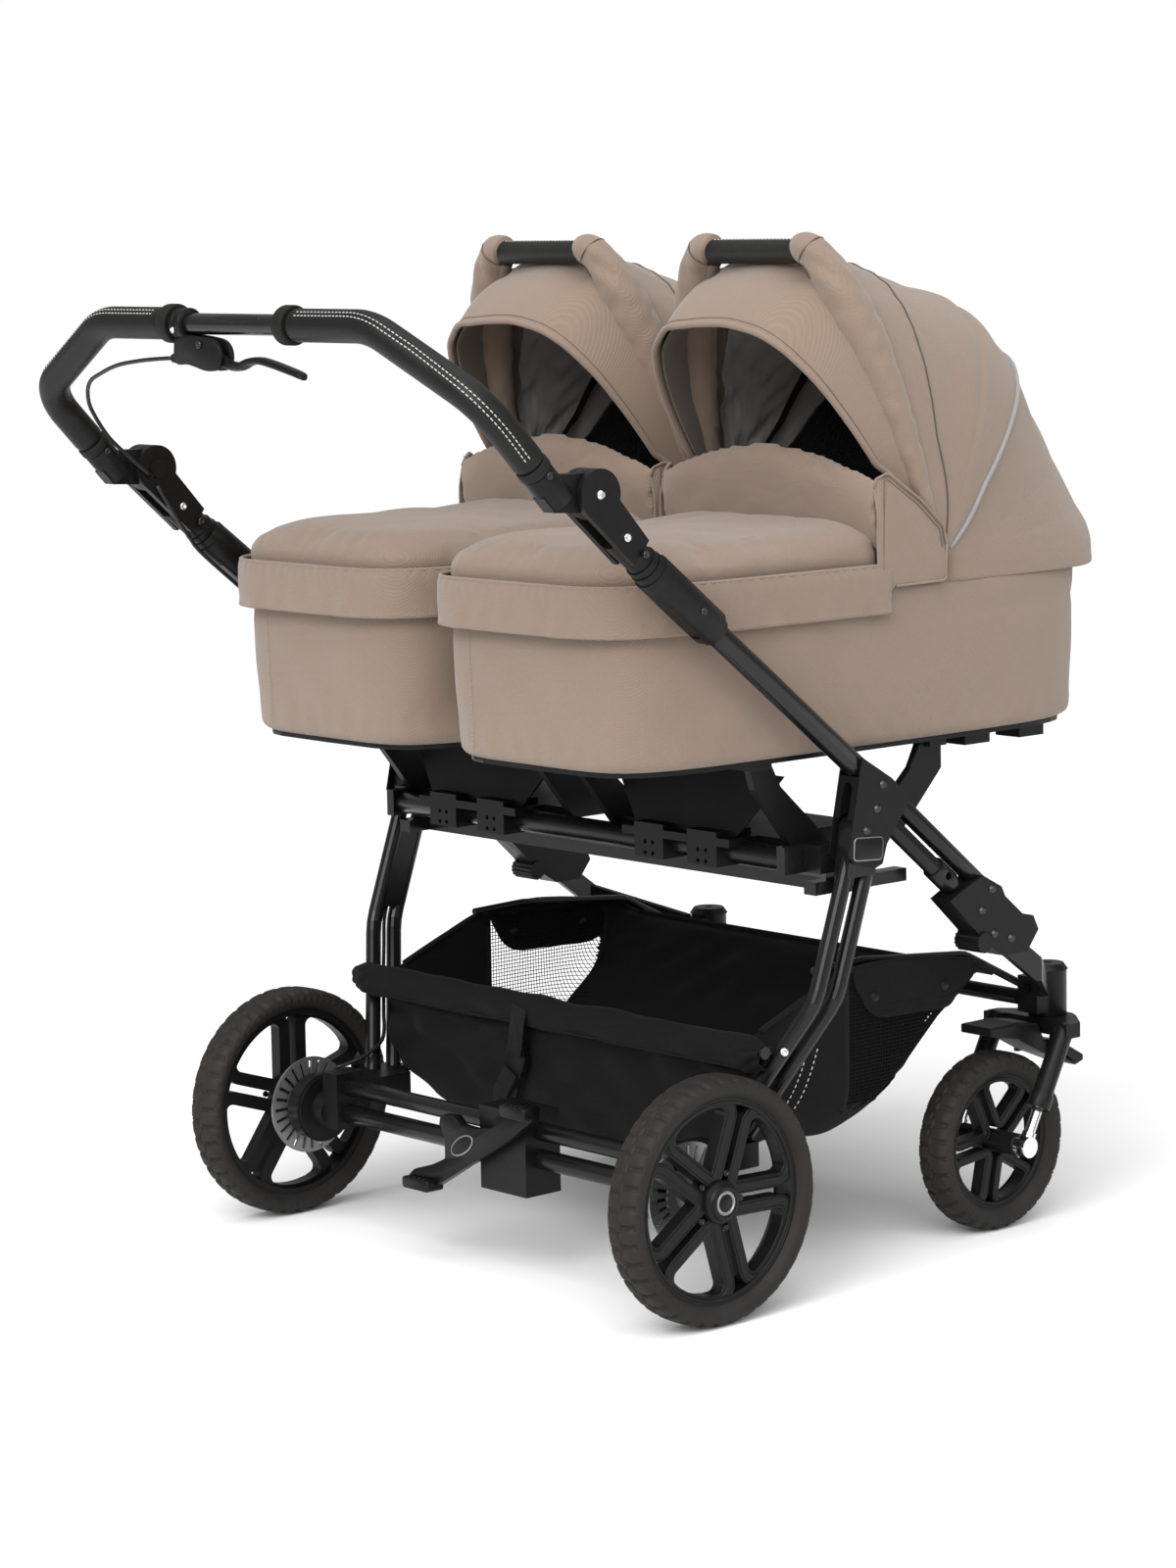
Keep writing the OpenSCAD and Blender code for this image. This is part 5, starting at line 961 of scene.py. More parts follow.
def buildTunnels():
    # cloth tube round the hoop, from the grip down to the pivot, gathered beside the grip
    n, m = tunnel["points"], tunnel["around"]
    s = np.linspace(0, 1, n)
    r = np.interp(s, np.linspace(0, 1, len(tunnel["r"])), tunnel["r"])
    a = np.linspace(0, 2 * np.pi, m, endpoint=False)[None]
    along = s[:, None]
    for hand in (1, -1):
        path = throughPoints(hoopPoint(np.array(tunnel["x"]), np.array(tunnel["rad"])), n) * (hand, 1, 1)
        ring = sweep(path, r, m, (0, 1, 0))
        out = unit(ring - path[:, None])
        gather = 1.3 * np.sin(5 * a + 40 * along + hand) * bump(along, 0.12, 0.09)
        crumple = gather + 0.8 * ripple(along * 9, a / 6.283 * 2, 40 + hand) * smooth01(along / 0.05)
        ring = ring + out * crumple[..., None]
        name = "hood_tunnel_" + ("outer" if hand > 0 else "inner")
        for piece in onCots(name, ring, beigeTwill, "hood", "beige_fabric", ring=True).values():
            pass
        mouth = sweep(path[5:7], 1.0, m, (0, 1, 0))[0] - path[5]
        hem = path[5] + mouth[np.arange(m + 1) % m] * (r[5] + 0.4)
        lineOnCots(name + "_hem", hem, 0.7, beigeSeam, "hood", "beige_fabric", 6)
        rear = throughPoints(path + np.array([0, 1, 0]) * (r[:, None] * 0.93), n)
        lineOnCots(name + "_seam", rear[10:-4], 0.8, beigeSeam, "hood", "beige_fabric", 6)


liningZones = (("mesh", 2.0, 52.0, liningMesh), ("grey", 52.0, 99.0, liningGrey), ("front", 99.0, 200.0, liningTaupe))


def buildLinings():
    # inner sheet in three cloths: net at the back, grey over the crown, taupe behind the visor
    rows, first = 96, liningZones[0][1]
    grid = hoodGrid(first, 0.95, 6.0, rows, 121)
    angle = np.concatenate([np.linspace(first, hood["last"], rows), 107.5 + np.arange(len(grid) - rows)])
    v, u = np.linspace(0, 1, len(grid))[:, None], np.linspace(0, 1, grid.shape[1])[None]
    inward = unit(np.array([0, hood["pivot"][0], hood["pivot"][1] + 60]) - grid)
    crease = (2.0 * ripple(u * 9, v * 4, 51) + 2.4 * ripple(u * 18, v * 9, 52)
              + 1.5 * np.abs(ripple(u * 30, v * 12, 53)))
    held = smooth01(np.minimum(u, 1 - u) * 12) * smooth01((1 - v) * 5)
    grid = grid + inward * (2.5 + crease * held)[..., None]
    for zone, low, high, tone in liningZones:
        part = grid[(angle >= low - 1.2) & (angle <= high)]
        for label, piece in blended("hood_lining_" + zone, part, tone, "lining").items():
            solidify(piece, 0.0012)
    share, turn = np.linspace(0.02, 0.98, 140)[None], np.linspace(63.8, 66.6, 5)[:, None]
    turn, share = np.broadcast_arrays(turn + 8 * smooth01((np.abs(share - 0.5) - 0.36) / 0.1), share)
    band = hoodSurface(turn, share, 0 * share, 15.0)
    for label, piece in blended("hood_strap", band, webbing, "nylon").items():
        solidify(piece, 0.0014)
    seam = visorLine((0.03, 0.97), 0.12, 10.0, 160)
    blended("lining_piping", sweep(seam, 1.7, 8), beigeTwill, "lining", ring=True)


gripSpan = {"half": 0.0795, "low": 1.0915}


def carryMaterial():
    # black grained grip in the middle, cloth colour on the hoop legs, told apart by place
    material, tree, bsdf, place = startMaterial("carryGrip", Specular_IOR_Level=0.35)
    g = useGroup(tree, grainGroup, place, Scale=620.0, Rough=0.46, Colour=(0.0075, 0.0073, 0.007, 1),
                 Rubbed=(0.04, 0.039, 0.037, 1))
    sep = tree.nodes.new("ShaderNodeSeparateXYZ")
    link(tree, place, sep.inputs[0])
    away = calc(tree, "ABSOLUTE", calc(tree, "SUBTRACT", calc(tree, "ABSOLUTE", sep.outputs[0]), cotAt["x"]))
    low = calc(tree, "LESS_THAN", sep.outputs[2], gripSpan["low"])
    leg = calc(tree, "MAXIMUM", calc(tree, "GREATER_THAN", away, gripSpan["half"]), low)
    surface(tree, bsdf, g, mixColour(tree, leg, g.outputs["Colour"], (0.13, 0.1, 0.08, 1)), 0.5, 0.0005)
    return material


def dressCarry():
    grip = carryMaterial()
    top = hoopPoint(np.linspace(-64, 64, 60), hood["grip"] + 13.7)
    for label, s in sides.items():
        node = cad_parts["carry_handle_" + label]
        node.data.materials.clear()
        node.data.materials.append(grip)
        dashes("carry_stitch_" + label, atCot(top, s), hoopPoint(0, 1) - hoopPoint(0, 0), 0.0052, 0.0036, 0.0006,
               whiteThread, "hood_" + label, "grip")


buildHoods()
buildTunnels()
buildLinings()
dressCarry()
print("hoods built")


# small turned pieces: screws, studs, caps
def turned(name, at, axis, profile, material, body, slot, count=28):
    # profile of (radius, height) in millimetres carried round an axis; place in work millimetres
    axis = unit(np.asarray(axis, float))
    u = unit(np.cross(axis, (0, 0, 1) if abs(axis[2]) < 0.9 else (1, 0, 0)))
    v = np.cross(axis, u)
    a = 2 * np.pi * np.arange(count)[None] / count
    p = np.asarray(profile, float)
    r, h = p[:, :1, None], p[:, 1:, None]
    grid = np.asarray(at, float) + r * (np.cos(a)[..., None] * u + np.sin(a)[..., None] * v) + h * axis
    return gridPiece(name, work(grid), material, body, slot, ring=True)


def domed(radius, height, foot):
    # button head: straight foot, quarter round top
    a = np.linspace(0, np.pi / 2, 8)[:-1]
    return [(radius, foot)] + [(radius * math.cos(t), height * math.sin(t)) for t in a] + [(0.05, height)]


def socketed(radius, height, foot=-2.5):
    # screw head with a round socket
    s = radius * 0.45
    return [(radius, foot), (radius, height * 0.55), (radius * 0.9, height * 0.9), (radius * 0.72, height),
            (s, height), (s * 0.95, height * 0.8), (s * 0.9, height * 0.25), (0.05, height * 0.2)]


# basket: a bag lofted from the rail to the front, its side windows netted
basket = {"half": 300.0, "wall": 0.0016, "sag": 7.0, "rows": 132, "cols": 201, "net": 4.2, "thread": 0.0014,
          "hemRail": (92.0, 270.5), "hemHalf": 342.0, "flap": (266, 458), "flapWall": 0.0016, "tape": 1.6,
          "studs": ((298, 298), (408, 296)), "still": (0, 330, 240), "moves": (0, 104, 262)}
bagStations = np.array([[102, 273, 0, 4.5], [103.5, 273, 54, 4.5], [105, 274, 108, 4.5], [108, 276, 140, 4.5],
                        [128, 284, 152, 4.5], [190, 308, 160, 6], [256, 330, 186, 8], [325, 333, 168, 8],
                        [367, 330, 136, 7], [406, 325, 94, 6], [440, 320, 55, 5], [470, 313, 22, 4], [490, 298, 0, 3]])
netWindow = np.array([(257, 322), (257, 176), (330, 178), (368, 210), (412, 250), (447, 296), (440, 314)])
flapLine = np.array([(266, 318), (270, 309), (275, 302), (281, 291), (289, 283), (300, 276), (314, 273), (365, 272),
                     (404, 270), (420, 271), (436, 278), (447, 289), (455, 301), (458, 312)])
wallTapes = {"binding": (netWindow[2:], 60, 4.5), "post": (((257, 322), (257, 270), (257, 220), (258, 178)), 40, 5.5),
             "foot": (((257, 177), (295, 177), (330, 179)), 30, 4.5)}
wallStitches = (((213, 254), (203, 230), (191, 203), (178, 178)), ((197, 254), (190, 236), (178, 212), (166, 192)))


def bagAcross(y):
    return [np.interp(y, bagStations[:, 0], bagStations[:, k]) for k in (1, 2, 3)]


def bagWall(y, z, out=0.0):
    # half width of the bag at a height on its side
    rim, deep, n = bagAcross(y)
    share = np.clip((rim - z) / np.maximum(deep, 1), 0, 0.995)
    return basket["half"] * (1 - share ** n) ** (1 / n) + out


def within(points, polygon):
    # crossing test for every point at once
    x, y = points[..., 0], points[..., 1]
    inside = np.zeros(x.shape, bool)
    for (ax, ay), (bx, by) in zip(polygon, np.roll(polygon, -1, 0)):
        cross = (ay > y) != (by > y)
        inside ^= cross & (x < ax + (y - ay) * (bx - ax) / (by - ay + 1e-9))
    return inside


def bagGrid():
    # stations smoothed along the bag; across, half a superellipse from rim to rim in even steps
    along = throughPoints(bagStations * (1, 1, 1, 8), basket["rows"]) / (1, 1, 1, 8)
    t = np.linspace(-1, 1, 1601)
    a = np.sign(t) * (1 - (1 - np.abs(t)) ** 4) * np.pi / 2
    rows = []
    for y, rim, deep, n in along:
        across = np.abs(np.sin(a)) ** (2 / n) * np.sign(t)
        line = np.stack([basket["half"] * across, rim - max(deep, 0) * np.abs(np.cos(a)) ** (2 / n)], -1)
        line = evenly(line, basket["cols"])
        rows.append(np.column_stack([line[:, 0], np.full(len(line), y), line[:, 1]]))
    grid = np.array(rows)
    x, y, z = grid[..., 0], grid[..., 1], grid[..., 2]
    rim = np.interp(y, bagStations[:, 0], bagStations[:, 1])
    low = smooth01((rim - z) / 90)
    side = unit(np.cross(np.gradient(grid, axis=0), np.gradient(grid, axis=1)))
    flat = smooth01((292 - np.abs(x)) / 40)
    rear = bump(y, 104, 14)
    slant = np.sin((x * 0.6 + (z - 200) * 1.5) / 17 + 2 * ripple(x / 160, z / 90, 61))
    fold = rear * (3.4 * slant * bump(x, -235, 75) + 2.6 * np.sin((x * 0.5 - z * 1.4) / 15 + 1) * bump(x, 245, 60)
                   + 3.0 * ripple(x / 120, z / 70, 62) + 5 * bump(z, 246 + 6 * np.sin(x / 70), 7))
    wave = np.sin((x + y * 0.7) / 24 + 2 * ripple(x / 140, y / 90, 63))
    ahead = smooth01((y - 380) / 60) * (3.5 * wave + 2.5 * ripple(x / 90, y / 60, 64))
    loose = 1.4 * ripple(x / 110, (y + z) / 90, 65)
    push = (fold + ahead * low + loose) * np.minimum(1, (rim - z) / 12)
    grid = grid + side * push[..., None] * np.where((side[..., 2:] > 0), -1, 1)
    grid[..., 2] -= basket["sag"] * flat * low * smooth01((y - 110) / 60) * smooth01((420 - y) / 120)
    return grid


def bagBlend(piece):
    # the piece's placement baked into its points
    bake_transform(piece)
    return piece


def onBag(name, grid, material, **options):
    return bagBlend(gridPiece(name, work(grid), material, None, "nylon", **options))


def bagTape(name, path, wide):
    # flat tape along a path on a side wall
    grid = sweep(path, wide, 10, (1, 0, 0))
    middleX = path[:, None, 0]
    grid[..., 0] = middleX + (grid[..., 0] - middleX) * basket["tape"] / wide
    onBag(name, grid, webbing, ring=True)


def onWall(line, hand, out):
    y, z = np.asarray(line, float).T
    return np.column_stack([hand * bagWall(y, z, out), y, z])


def keptMesh(name, points, faces, *options):
    # black cloth from some faces of a grid, with only the points they use
    used = np.unique(faces)
    order = np.full(len(points), -1)
    order[used] = np.arange(len(used))
    return meshPiece(name, work(points)[used], order[faces], blackNylon, None, "nylon", *options)


def buildBag():
    grid = bagGrid()
    rows, cols = grid.shape[:2]
    points = grid.reshape(-1, 3)
    corner, faces = quads(rows, cols)
    centre = points[faces].mean(1)
    hole = within(centre[:, 1:], netWindow) & (np.abs(centre[:, 0]) > 270)
    corner = corner[~hole]
    uv = np.stack([corner[..., 1] / cols * 0.9, corner[..., 0] / rows * 0.6], -1)
    bag = keptMesh("basket_bag", points, faces[~hole], uv.reshape(-1, 2), ("basket",))
    solidify(bag, basket["wall"], 0.0)
    bagBlend(bag)
    for label, hand in sides.items():
        buildNet(label, hand)
        buildFlap(label, hand)
        for k, line in enumerate(wallStitches):
            path = work(onWall(throughPoints(line, 60), hand, 1.4))
            bagBlend(dashes(f"basket_stitch_{label}_{k}", path, (hand, 0, 0), 0.0062, 0.004, 0.0007, whiteThread, None,
                            "nylon"))
    hem = throughPoints(grid[-1][::8], 120) + (0, 0, 1.5)
    onBag("basket_front_hem", sweep(hem, 4.0, 12), webbing, ring=True)


def buildNet(label, hand):
    # side window: threads along the wall, bound with tape
    y, z = np.arange(252, 452, basket["net"]), np.arange(172, 326, basket["net"])
    yy, zz = np.meshgrid(y, z, indexing="ij")
    points = np.stack([hand * bagWall(yy, zz, -0.5), yy, zz], -1).reshape(-1, 3)
    cells = quads(len(y), len(z))[1]
    window = netWindow + (netWindow - netWindow.mean(0)) * 0.03
    net = keptMesh("basket_net_" + label, points, cells[within(points[cells].mean(1)[:, 1:], window)])
    wire = net.modifiers.new("Net", "WIREFRAME")
    wire.thickness, wire.use_boundary, wire.use_even_offset = basket["thread"], True, False
    bagBlend(net)
    for name, (line, count, wide) in wallTapes.items():
        bagTape(f"basket_{name}_{label}", onWall(throughPoints(line, count), hand, 0.3), wide)
    edge = bagStations[4:, :2]
    rim = throughPoints(np.column_stack([np.full(len(edge), hand * basket["half"]), edge]), 90)
    onBag("basket_rim_" + label, sweep(rim, 3.2, 10), webbing, ring=True)


def buildFlap(label, hand):
    # flap hung from the rim over the wall, with two seams and two press studs
    v, t = np.linspace(0, 1, 14)[:, None], np.linspace(*basket["flap"], 60)[None]
    low = np.interp(t, flapLine[:, 0], flapLine[:, 1])
    top = np.interp(t, bagStations[:, 0], bagStations[:, 1]) + 2.5
    z = top + (low - top) * v
    x = hand * (bagWall(t, np.minimum(z, top - 3), 2.8) + 2.2 * v ** 2 * (1 + 0.6 * ripple(t / 60, v, 66)))
    cut = np.stack([x, np.broadcast_to(t, z.shape), z], -1)
    flap = gridPiece("basket_flap_" + label, work(cut), blackNylon, None, "nylon", flip=hand < 0)
    solidify(flap, basket["flapWall"], 0.0)
    bagBlend(flap)
    for k, inset in enumerate((0.90, 0.78)):
        row = np.column_stack([t[0][3:-3], (top + (low - top) * inset)[0][3:-3]])
        line = np.column_stack([hand * (bagWall(row[:, 0], row[:, 1], 4.4 + 2.2 * inset ** 2 - 0.6)), row])
        onBag(f"basket_flap_seam_{label}_{k}", sweep(line, 0.45, 6), webbing, ring=True)
    for k, spot in enumerate(basket["studs"]):
        for name, x, way, shape in (("stud", 304.2, hand, (6.2, 3.2, -2.5)),
                                    ("stud_back", 298.6, -hand, (6.0, 1.8, -2.0))):
            bagBlend(turned(f"basket_{name}_{label}_{k}", (hand * x, *spot), (way, 0, 0), domed(*shape), blackPlastic,
                            None, "black_plastic"))


def buildHem():
    # cloth sleeve round the rail: a ring carried along it, gathered at its ends
    half, (y0, z0) = basket["hemHalf"], basket["hemRail"]
    x = np.linspace(-half, half, 240)[:, None]
    s = np.minimum(x + half, half - x)
    a = np.radians(np.linspace(-75, 283, 42))[None]  # open slit behind the seam
    loose = ripple(x / 90, 0 * x, 71)
    r = 14.5 - 6.0 * (1 - smooth01(s / 22)) + 0.8 * loose
    gather = np.sin(7 * a + x / 5.5) * bump(s, 8, 22) * 1.6
    ring = r + (1.5 * ripple(x / 120 + a / 9, a / 3.2 + 0 * x, 72) + gather)
    droop = 5.5 * np.maximum(0, -np.sin(a)) ** 2  # slack under the rail
    grid = np.stack([np.broadcast_to(x, ring.shape), y0 + 0.92 * ring * np.cos(a), z0 + ring * np.sin(a) - droop], -1)
    roll = gridPiece("basket_hem_roll", work(grid), blackNylon, "rear_frame", "nylon", flip=True)
    solidify(roll, basket["wall"])
    seam = np.column_stack([x, np.full(len(x), y0 - 8.5), z0 - 17.5 + 0.6 * loose])[6:-6]
    gridPiece("basket_hem_seam", work(sweep(seam, 0.9, 8)), webbing, "rear_frame", "nylon", ring=True)


strap = {"thick": 0.9, "down": (-0.28, 0.0, -1.0), "at": (-58.0, 83.5, 209.0),
         "webs": {"basket_strap": (12.5, ((-33, 77, 274), (-36, 75.5, 262), (-43, 79, 246), (-50, 83, 228),
                                          (-55, 85, 218))),
                  "basket_strap_tail": (12.0, ((-62, 85, 196), (-68, 84, 184), (-75, 82, 172), (-79, 83, 165),
                                               (-77, 87, 160), (-72, 89, 164), (-66, 90, 178)))},
         "buckle": {"": (2.0, 0.0, (14.5, 17.0), 4.0, 8.0), "_tongue": (-17.0, 0.0, (13.0, 6.0), 3.0, 6.5),
                    "_left": (1.0, -14.0, (2.6, 9.0), 2.2, 9.0), "_right": (1.0, 14.0, (2.6, 9.0), 2.2, 9.0)}}


def flatRibbon(name, path, wide, thick, material, body, slot):
    # webbing: a thin rounded ring carried along a path, its wide side facing back
    path = throughPoints(path, 60)
    run = unit(np.gradient(path, axis=0))
    across = unit(np.cross(run, (0.0, 1.0, 0.0)))
    lift = np.cross(across, run)
    a = np.linspace(0, 2 * np.pi, 16, endpoint=False)
    c, s = (np.sign(f) * np.abs(f) ** 0.5 for f in (np.cos(a), np.sin(a)))
    grid = path[:, None] + wide * c[:, None] * across[:, None] + thick * s[:, None] * lift[:, None]
    return gridPiece(name, work(grid), material, body, slot, ring=True)


def plate(name, outline, at, u, v, depth, edge, material, body, slot, replaces=()):
    # flat plate: outline in a plane, walls and a rounded front edge, closed on both faces
    outline = np.asarray(outline, float)
    u, v = np.asarray(u, float), np.asarray(v, float)
    n = unit(np.cross(u, v))
    mid = outline.mean(0)
    ring = []
    for inset, h in [(0, 0), (0, depth - edge), (edge * 0.3, depth - edge * 0.3), (edge, depth)]:
        far = outline - mid
        size = np.linalg.norm(far, axis=1, keepdims=True)
        q = mid + far * (1 - inset / np.maximum(size, 1e-6))
        ring.append(np.asarray(at, float) + q[:, :1] * u + q[:, 1:] * v + h * n)
    return gridPiece(name, work(np.array(ring)), material, body, slot, ring=True, replaces=replaces)


def roundedBox(half, corner, count=8):
    # outline of a rectangle with round corners
    w, h = half
    a = np.linspace(0, np.pi / 2, count)
    out = []
    for k, (sx, sy) in enumerate(((1, 1), (-1, 1), (-1, -1), (1, -1))):
        t = a + k * np.pi / 2
        out.append(np.stack([sx * (w - corner) + corner * np.cos(t), sy * (h - corner) + corner * np.sin(t)], -1))
    return np.vstack(out)


def buildStrap():
    for name, (wide, path) in strap["webs"].items():
        flatRibbon(name, path, wide, strap["thick"], webbing, "rear_frame", "nylon")
    down = unit(np.array(strap["down"]))
    side = np.cross((0, -1, 0), down)
    for name, (shift, off, half, corner, deep) in strap["buckle"].items():
        at = np.array(strap["at"]) + down * shift + side * off + np.array([0, deep / 2, 0])
        part = plate("basket_buckle" + name, roundedBox(half, corner), at, side, down, deep, 1.5, blackPlastic,
                     "rear_frame", "black_plastic")
        roundEdges(part, 0.0006)


buildBag()
buildHem()
buildStrap()
print("basket built")

# wheels: tyres with blocks, rims with framed windows, hub caps
wheels = {"rear": {"at": (357.5, 0.0, 132.0), "d": 264.0, "w": 45.0, "rim": 218.0, "spoke": 29.0, "hub": 23.0,
                   "blocks": 40, "frame": (-10.3, 4.8), "face": 11.6, "corner": (5.0, 13.0), "lip": 13.6,
                   "turn": {"right": 16, "left": 36}, "hubLong": 15.0, "bore": 6.1},
          "front": {"at": (282.0, 506.0, 101.5), "d": 203.0, "w": 43.0, "rim": 152.0, "spoke": 22.0, "hub": 13.0,
                    "blocks": 32, "frame": (-6.8, 3.6), "face": 11.0, "corner": (4.0, 8.0), "lip": 13.0,
                    "turn": {"right": 60, "left": 60}, "hubLong": 43.2, "bore": 5.1}}
tyreShares = np.array([[0.62, 0], [0.9, 0.22], [1, 0.5], [0.94, 0.78], [0.7, 0.95], [0.36, 1]])
tread = {"depth": 3.0, "emboss": 0.9, "around": 480, "across": 56}


def buildTyre(kind, label, hand):
    # rounded section carried round the axle; blocks are cut in at the shoulder, marks raised on the wall
    spec = wheels[kind]
    r0, r1, w = spec["rim"] / 2 + 0.3, spec["d"] / 2, spec["w"] / 2
    half = np.column_stack([-tyreShares[:, 0] * w, r0 + tyreShares[:, 1] * (r1 - r0)])
    count = tread["across"]
    section = throughPoints(np.vstack([half, half[::-1] * (-1, 1)]), count)
    inner = np.column_stack([np.linspace(section[-1, 0], section[0, 0], 5)[1:-1], np.full(3, r0)])
    out = np.zeros((count + len(inner), 2))
    out[:count] = unit(np.column_stack([-np.gradient(section[:, 1]), np.gradient(section[:, 0])]))
    section = np.vstack([section, inner])
    a = (2 * np.pi * np.arange(tread["around"]) / tread["around"])[:, None]
    x, r = section[:, 0][None], section[:, 1][None]
    high = (r - r0) / (r1 - r0)
    outer = np.arange(len(section))[None] < count
    side = np.sign(x)
    n = spec["blocks"]
    turn = (a * n / (2 * np.pi) + 0.25 * (side > 0)) % 1.0
    sharp = lambda d, wide: smooth01((wide - np.abs(d)) / 0.05 + 0.5)
    reach = smooth01((high - 0.72 - 0.1 * np.cos(4 * np.pi * turn)) / 0.05)
    notch = sharp(turn - 0.5, 0.15) * reach * smooth01((np.abs(x) / w - 0.16) / 0.06)
    zig = bump(x / w, 0.10 * np.sign(np.sin(a * n)), 0.05) * smooth01((high - 0.9) / 0.05)
    wall = bump(high, 0.52, 0.17) * outer
    dash = sharp(turn - 0.25, 0.16) * sharp(high - 0.5, 0.055)
    wedge = sharp(turn - 0.75, 0.13 * np.clip((high - 0.36) / 0.3, 0, 1)) * sharp(high - 0.52, 0.14)
    marks = tread["emboss"] * np.maximum(dash, wedge) * (wall > 0.05)
    lift = (-tread["depth"] * np.maximum(notch, 0.8 * zig) + marks) * outer
    x2, r2 = x + lift * out[:, 0][None], r + lift * out[:, 1][None]
    x2 = np.broadcast_to(x2, r2.shape)
    at = np.array(spec["at"]) * (hand, 1, 1)
    grid = at + np.stack([hand * x2, r2 * np.cos(a), r2 * np.sin(a)], -1)
    gridPiece(f"{kind}_tread_{label}", work(grid), tyreRubber, f"{kind}_wheel_{label}", "tyre", torus=True,
              replaces=(f"{kind}_tyre_{label}",))


def windowLine(spec):
    # one window between two spokes: apex by the hub, arc under the rim, corners rounded
    half, reach = spec["spoke"] / 2, spec["rim"] / 2 - 5.0
    step = math.pi / 5
    apex = np.array([half / math.sin(step), 0.0])
    edge = step - math.asin(half / reach)
    arc = np.linspace(-edge, edge, 9)
    low, high = spec["corner"]
    rim = np.stack([np.cos(arc), np.sin(arc)], -1) * reach
    first, last, rim = rim[0], rim[-1], rim[1:-1]
    start, end = 0.5 * (apex + first), 0.5 * (last + apex)
    one = bent(np.vstack([start, first, rim[1]]), high, 8)
    two = bent(np.vstack([rim[-2], last, end]), high, 8)
    three = bent(np.vstack([end, apex, start]), low, 8)
    return evenly(np.vstack([one, rim[2:-2], two, three[1:]]), 97)[:-1]


def ringOf(profile, at, hand, count=180):
    # closed section of (across, radius) carried round the axle
    a = (2 * np.pi * np.arange(count) / count)[:, None]
    x, r = np.asarray(profile, float).T
    grid = at + np.stack([np.broadcast_to(hand * x[None], (count, len(x))), r * np.cos(a), r * np.sin(a)], -1)
    p = work(grid.reshape(-1, 3))
    return p, turnedOut(p, quads(count, len(x), True, True)[1])


def buildRim(kind, label, hand):
    # lip profile carried round each window makes the twin bars; barrel and hub are rings
    spec = wheels[kind]
    at = np.array(spec["at"]) * (hand, 1, 1)
    edge, outer = spec["lip"], spec["rim"] / 2
    line = windowLine(spec)
    run = unit(np.roll(line, -1, 0) - np.roll(line, 1, 0))
    inward = np.column_stack([-run[:, 1], run[:, 0]])
    low, high = spec["frame"]
    f, long, bore, hub = (spec[k] for k in ("face", "hubLong", "bore", "hub"))
    profile = np.array([(low, 5.0), (low, f - 0.7), (low + 0.7, f), (low + 1.6, f), (low + 2.0, f - 0.7),
                        (low + 2.5, f - 0.7), (low + 2.9, f), (0.4, f), (0.9, f - 0.6), (1.6, f - 1.2),
                        (high - 0.6, f - 1.5), (high, f - 2.2), (high, -6.3), (low, -6.3)])
    barrel = [(-edge, 0), (edge, 0), (edge, 2.2), (edge - 0.6, 2.6), (edge - 0.6, 3.1), (edge, 3.5), (edge - 0.2, 5.6),
              (edge - 1.2, 6.6), (f - 1, 6.2), (f - 3, 5.2), (-edge + 3, 5.2), (-edge + 0.8, 7), (-edge, 6.4)]
    rings = [ringOf([(x, outer - deep) for x, deep in barrel], at, hand),
             ringOf([(-long, bore), (long, bore), (long, hub - 0.8), (long - 0.8, hub), (-long + 0.8, hub),
                     (-long, hub - 0.8)], at, hand, 96)]
    for k in range(5):
        t = 2 * math.pi * (k + 0.5) / 5 + math.radians(spec["turn"][label] - 90)
        turn = np.array([[math.cos(t), math.sin(t)], [-math.sin(t), math.cos(t)]])
        flat = (line[:, None] + profile[None, :, :1] * inward[:, None]) @ turn
        grid = np.concatenate([np.broadcast_to(profile[None, :, 1:], flat.shape[:2] + (1,)), flat], -1)
        p = work((at + grid * (hand, 1, 1)).reshape(-1, 3))
        rings.append((p, turnedOut(p, quads(len(line), len(profile), True, True)[1])))
    starts = np.cumsum([0] + [len(p) for p, q in rings])
    faces = np.vstack([q + start for (p, q), start in zip(rings, starts)])
    rim = meshPiece(f"{kind}_rim_face_{label}", np.vstack([p for p, q in rings]), faces, blackPlastic,
                    f"{kind}_wheel_{label}", "black_plastic", replaces=(f"{kind}_rim_{label}",))
    crisp = rim.modifiers.new("Crisp", "EDGE_SPLIT")
    crisp.split_angle = math.radians(35)


hubCap = {"out": 15.4, "cap": ((22.6, -1), (22.6, 0.4), (21.8, 1.2), (19.4, 1.4), (18.8, 5.2), (18.0, 6.2), (13.4, 6.4),
                               (13.0, 5.6), (9.8, 5.5), (9.4, 5.9), (0.1, 6.3)),
          "ring": ((12.9, 5.0), (12.7, 6.2), (12.2, 6.7), (11.6, 6.7), (11.1, 6.2), (10.9, 5.0)),
          "hole": ((3.6, -0.5), (3.6, 1.2), (3.0, 1.7), (2.4, 1.4), (2.2, -0.2), (0.05, -0.3)), "holeAt": (10.2, 30.5)}


def buildHubs(label, hand):
    body, spec = "rear_wheel_" + label, wheels["rear"]
    at, axis = np.array(spec["at"]) * (hand, 1, 1), (hand, 0, 0)
    face = at + np.array([hubCap["out"] * hand, 0, 0])
    turned("hub_cap_" + label, face, axis, hubCap["cap"], blackPlastic, body, "black_plastic", 48)
    turned("hub_ring_" + label, face, axis, hubCap["ring"], greySteel, body, "steel", 48)
    out, far = hubCap["holeAt"]
    for k in range(5):
        t = 2 * math.pi * k / 5 + math.radians(spec["turn"][label] - 90)
        spot = at + np.array([hand * out, far * math.cos(t), far * math.sin(t)])
        turned(f"hub_hole_{label}_{k}", spot, axis, hubCap["hole"], glossTube, body, "black_plastic", 18)


for label, hand in sides.items():
    for kind in wheels:
        buildTyre(kind, label, hand)
        buildRim(kind, label, hand)
    buildHubs(label, hand)
print("wheels built")

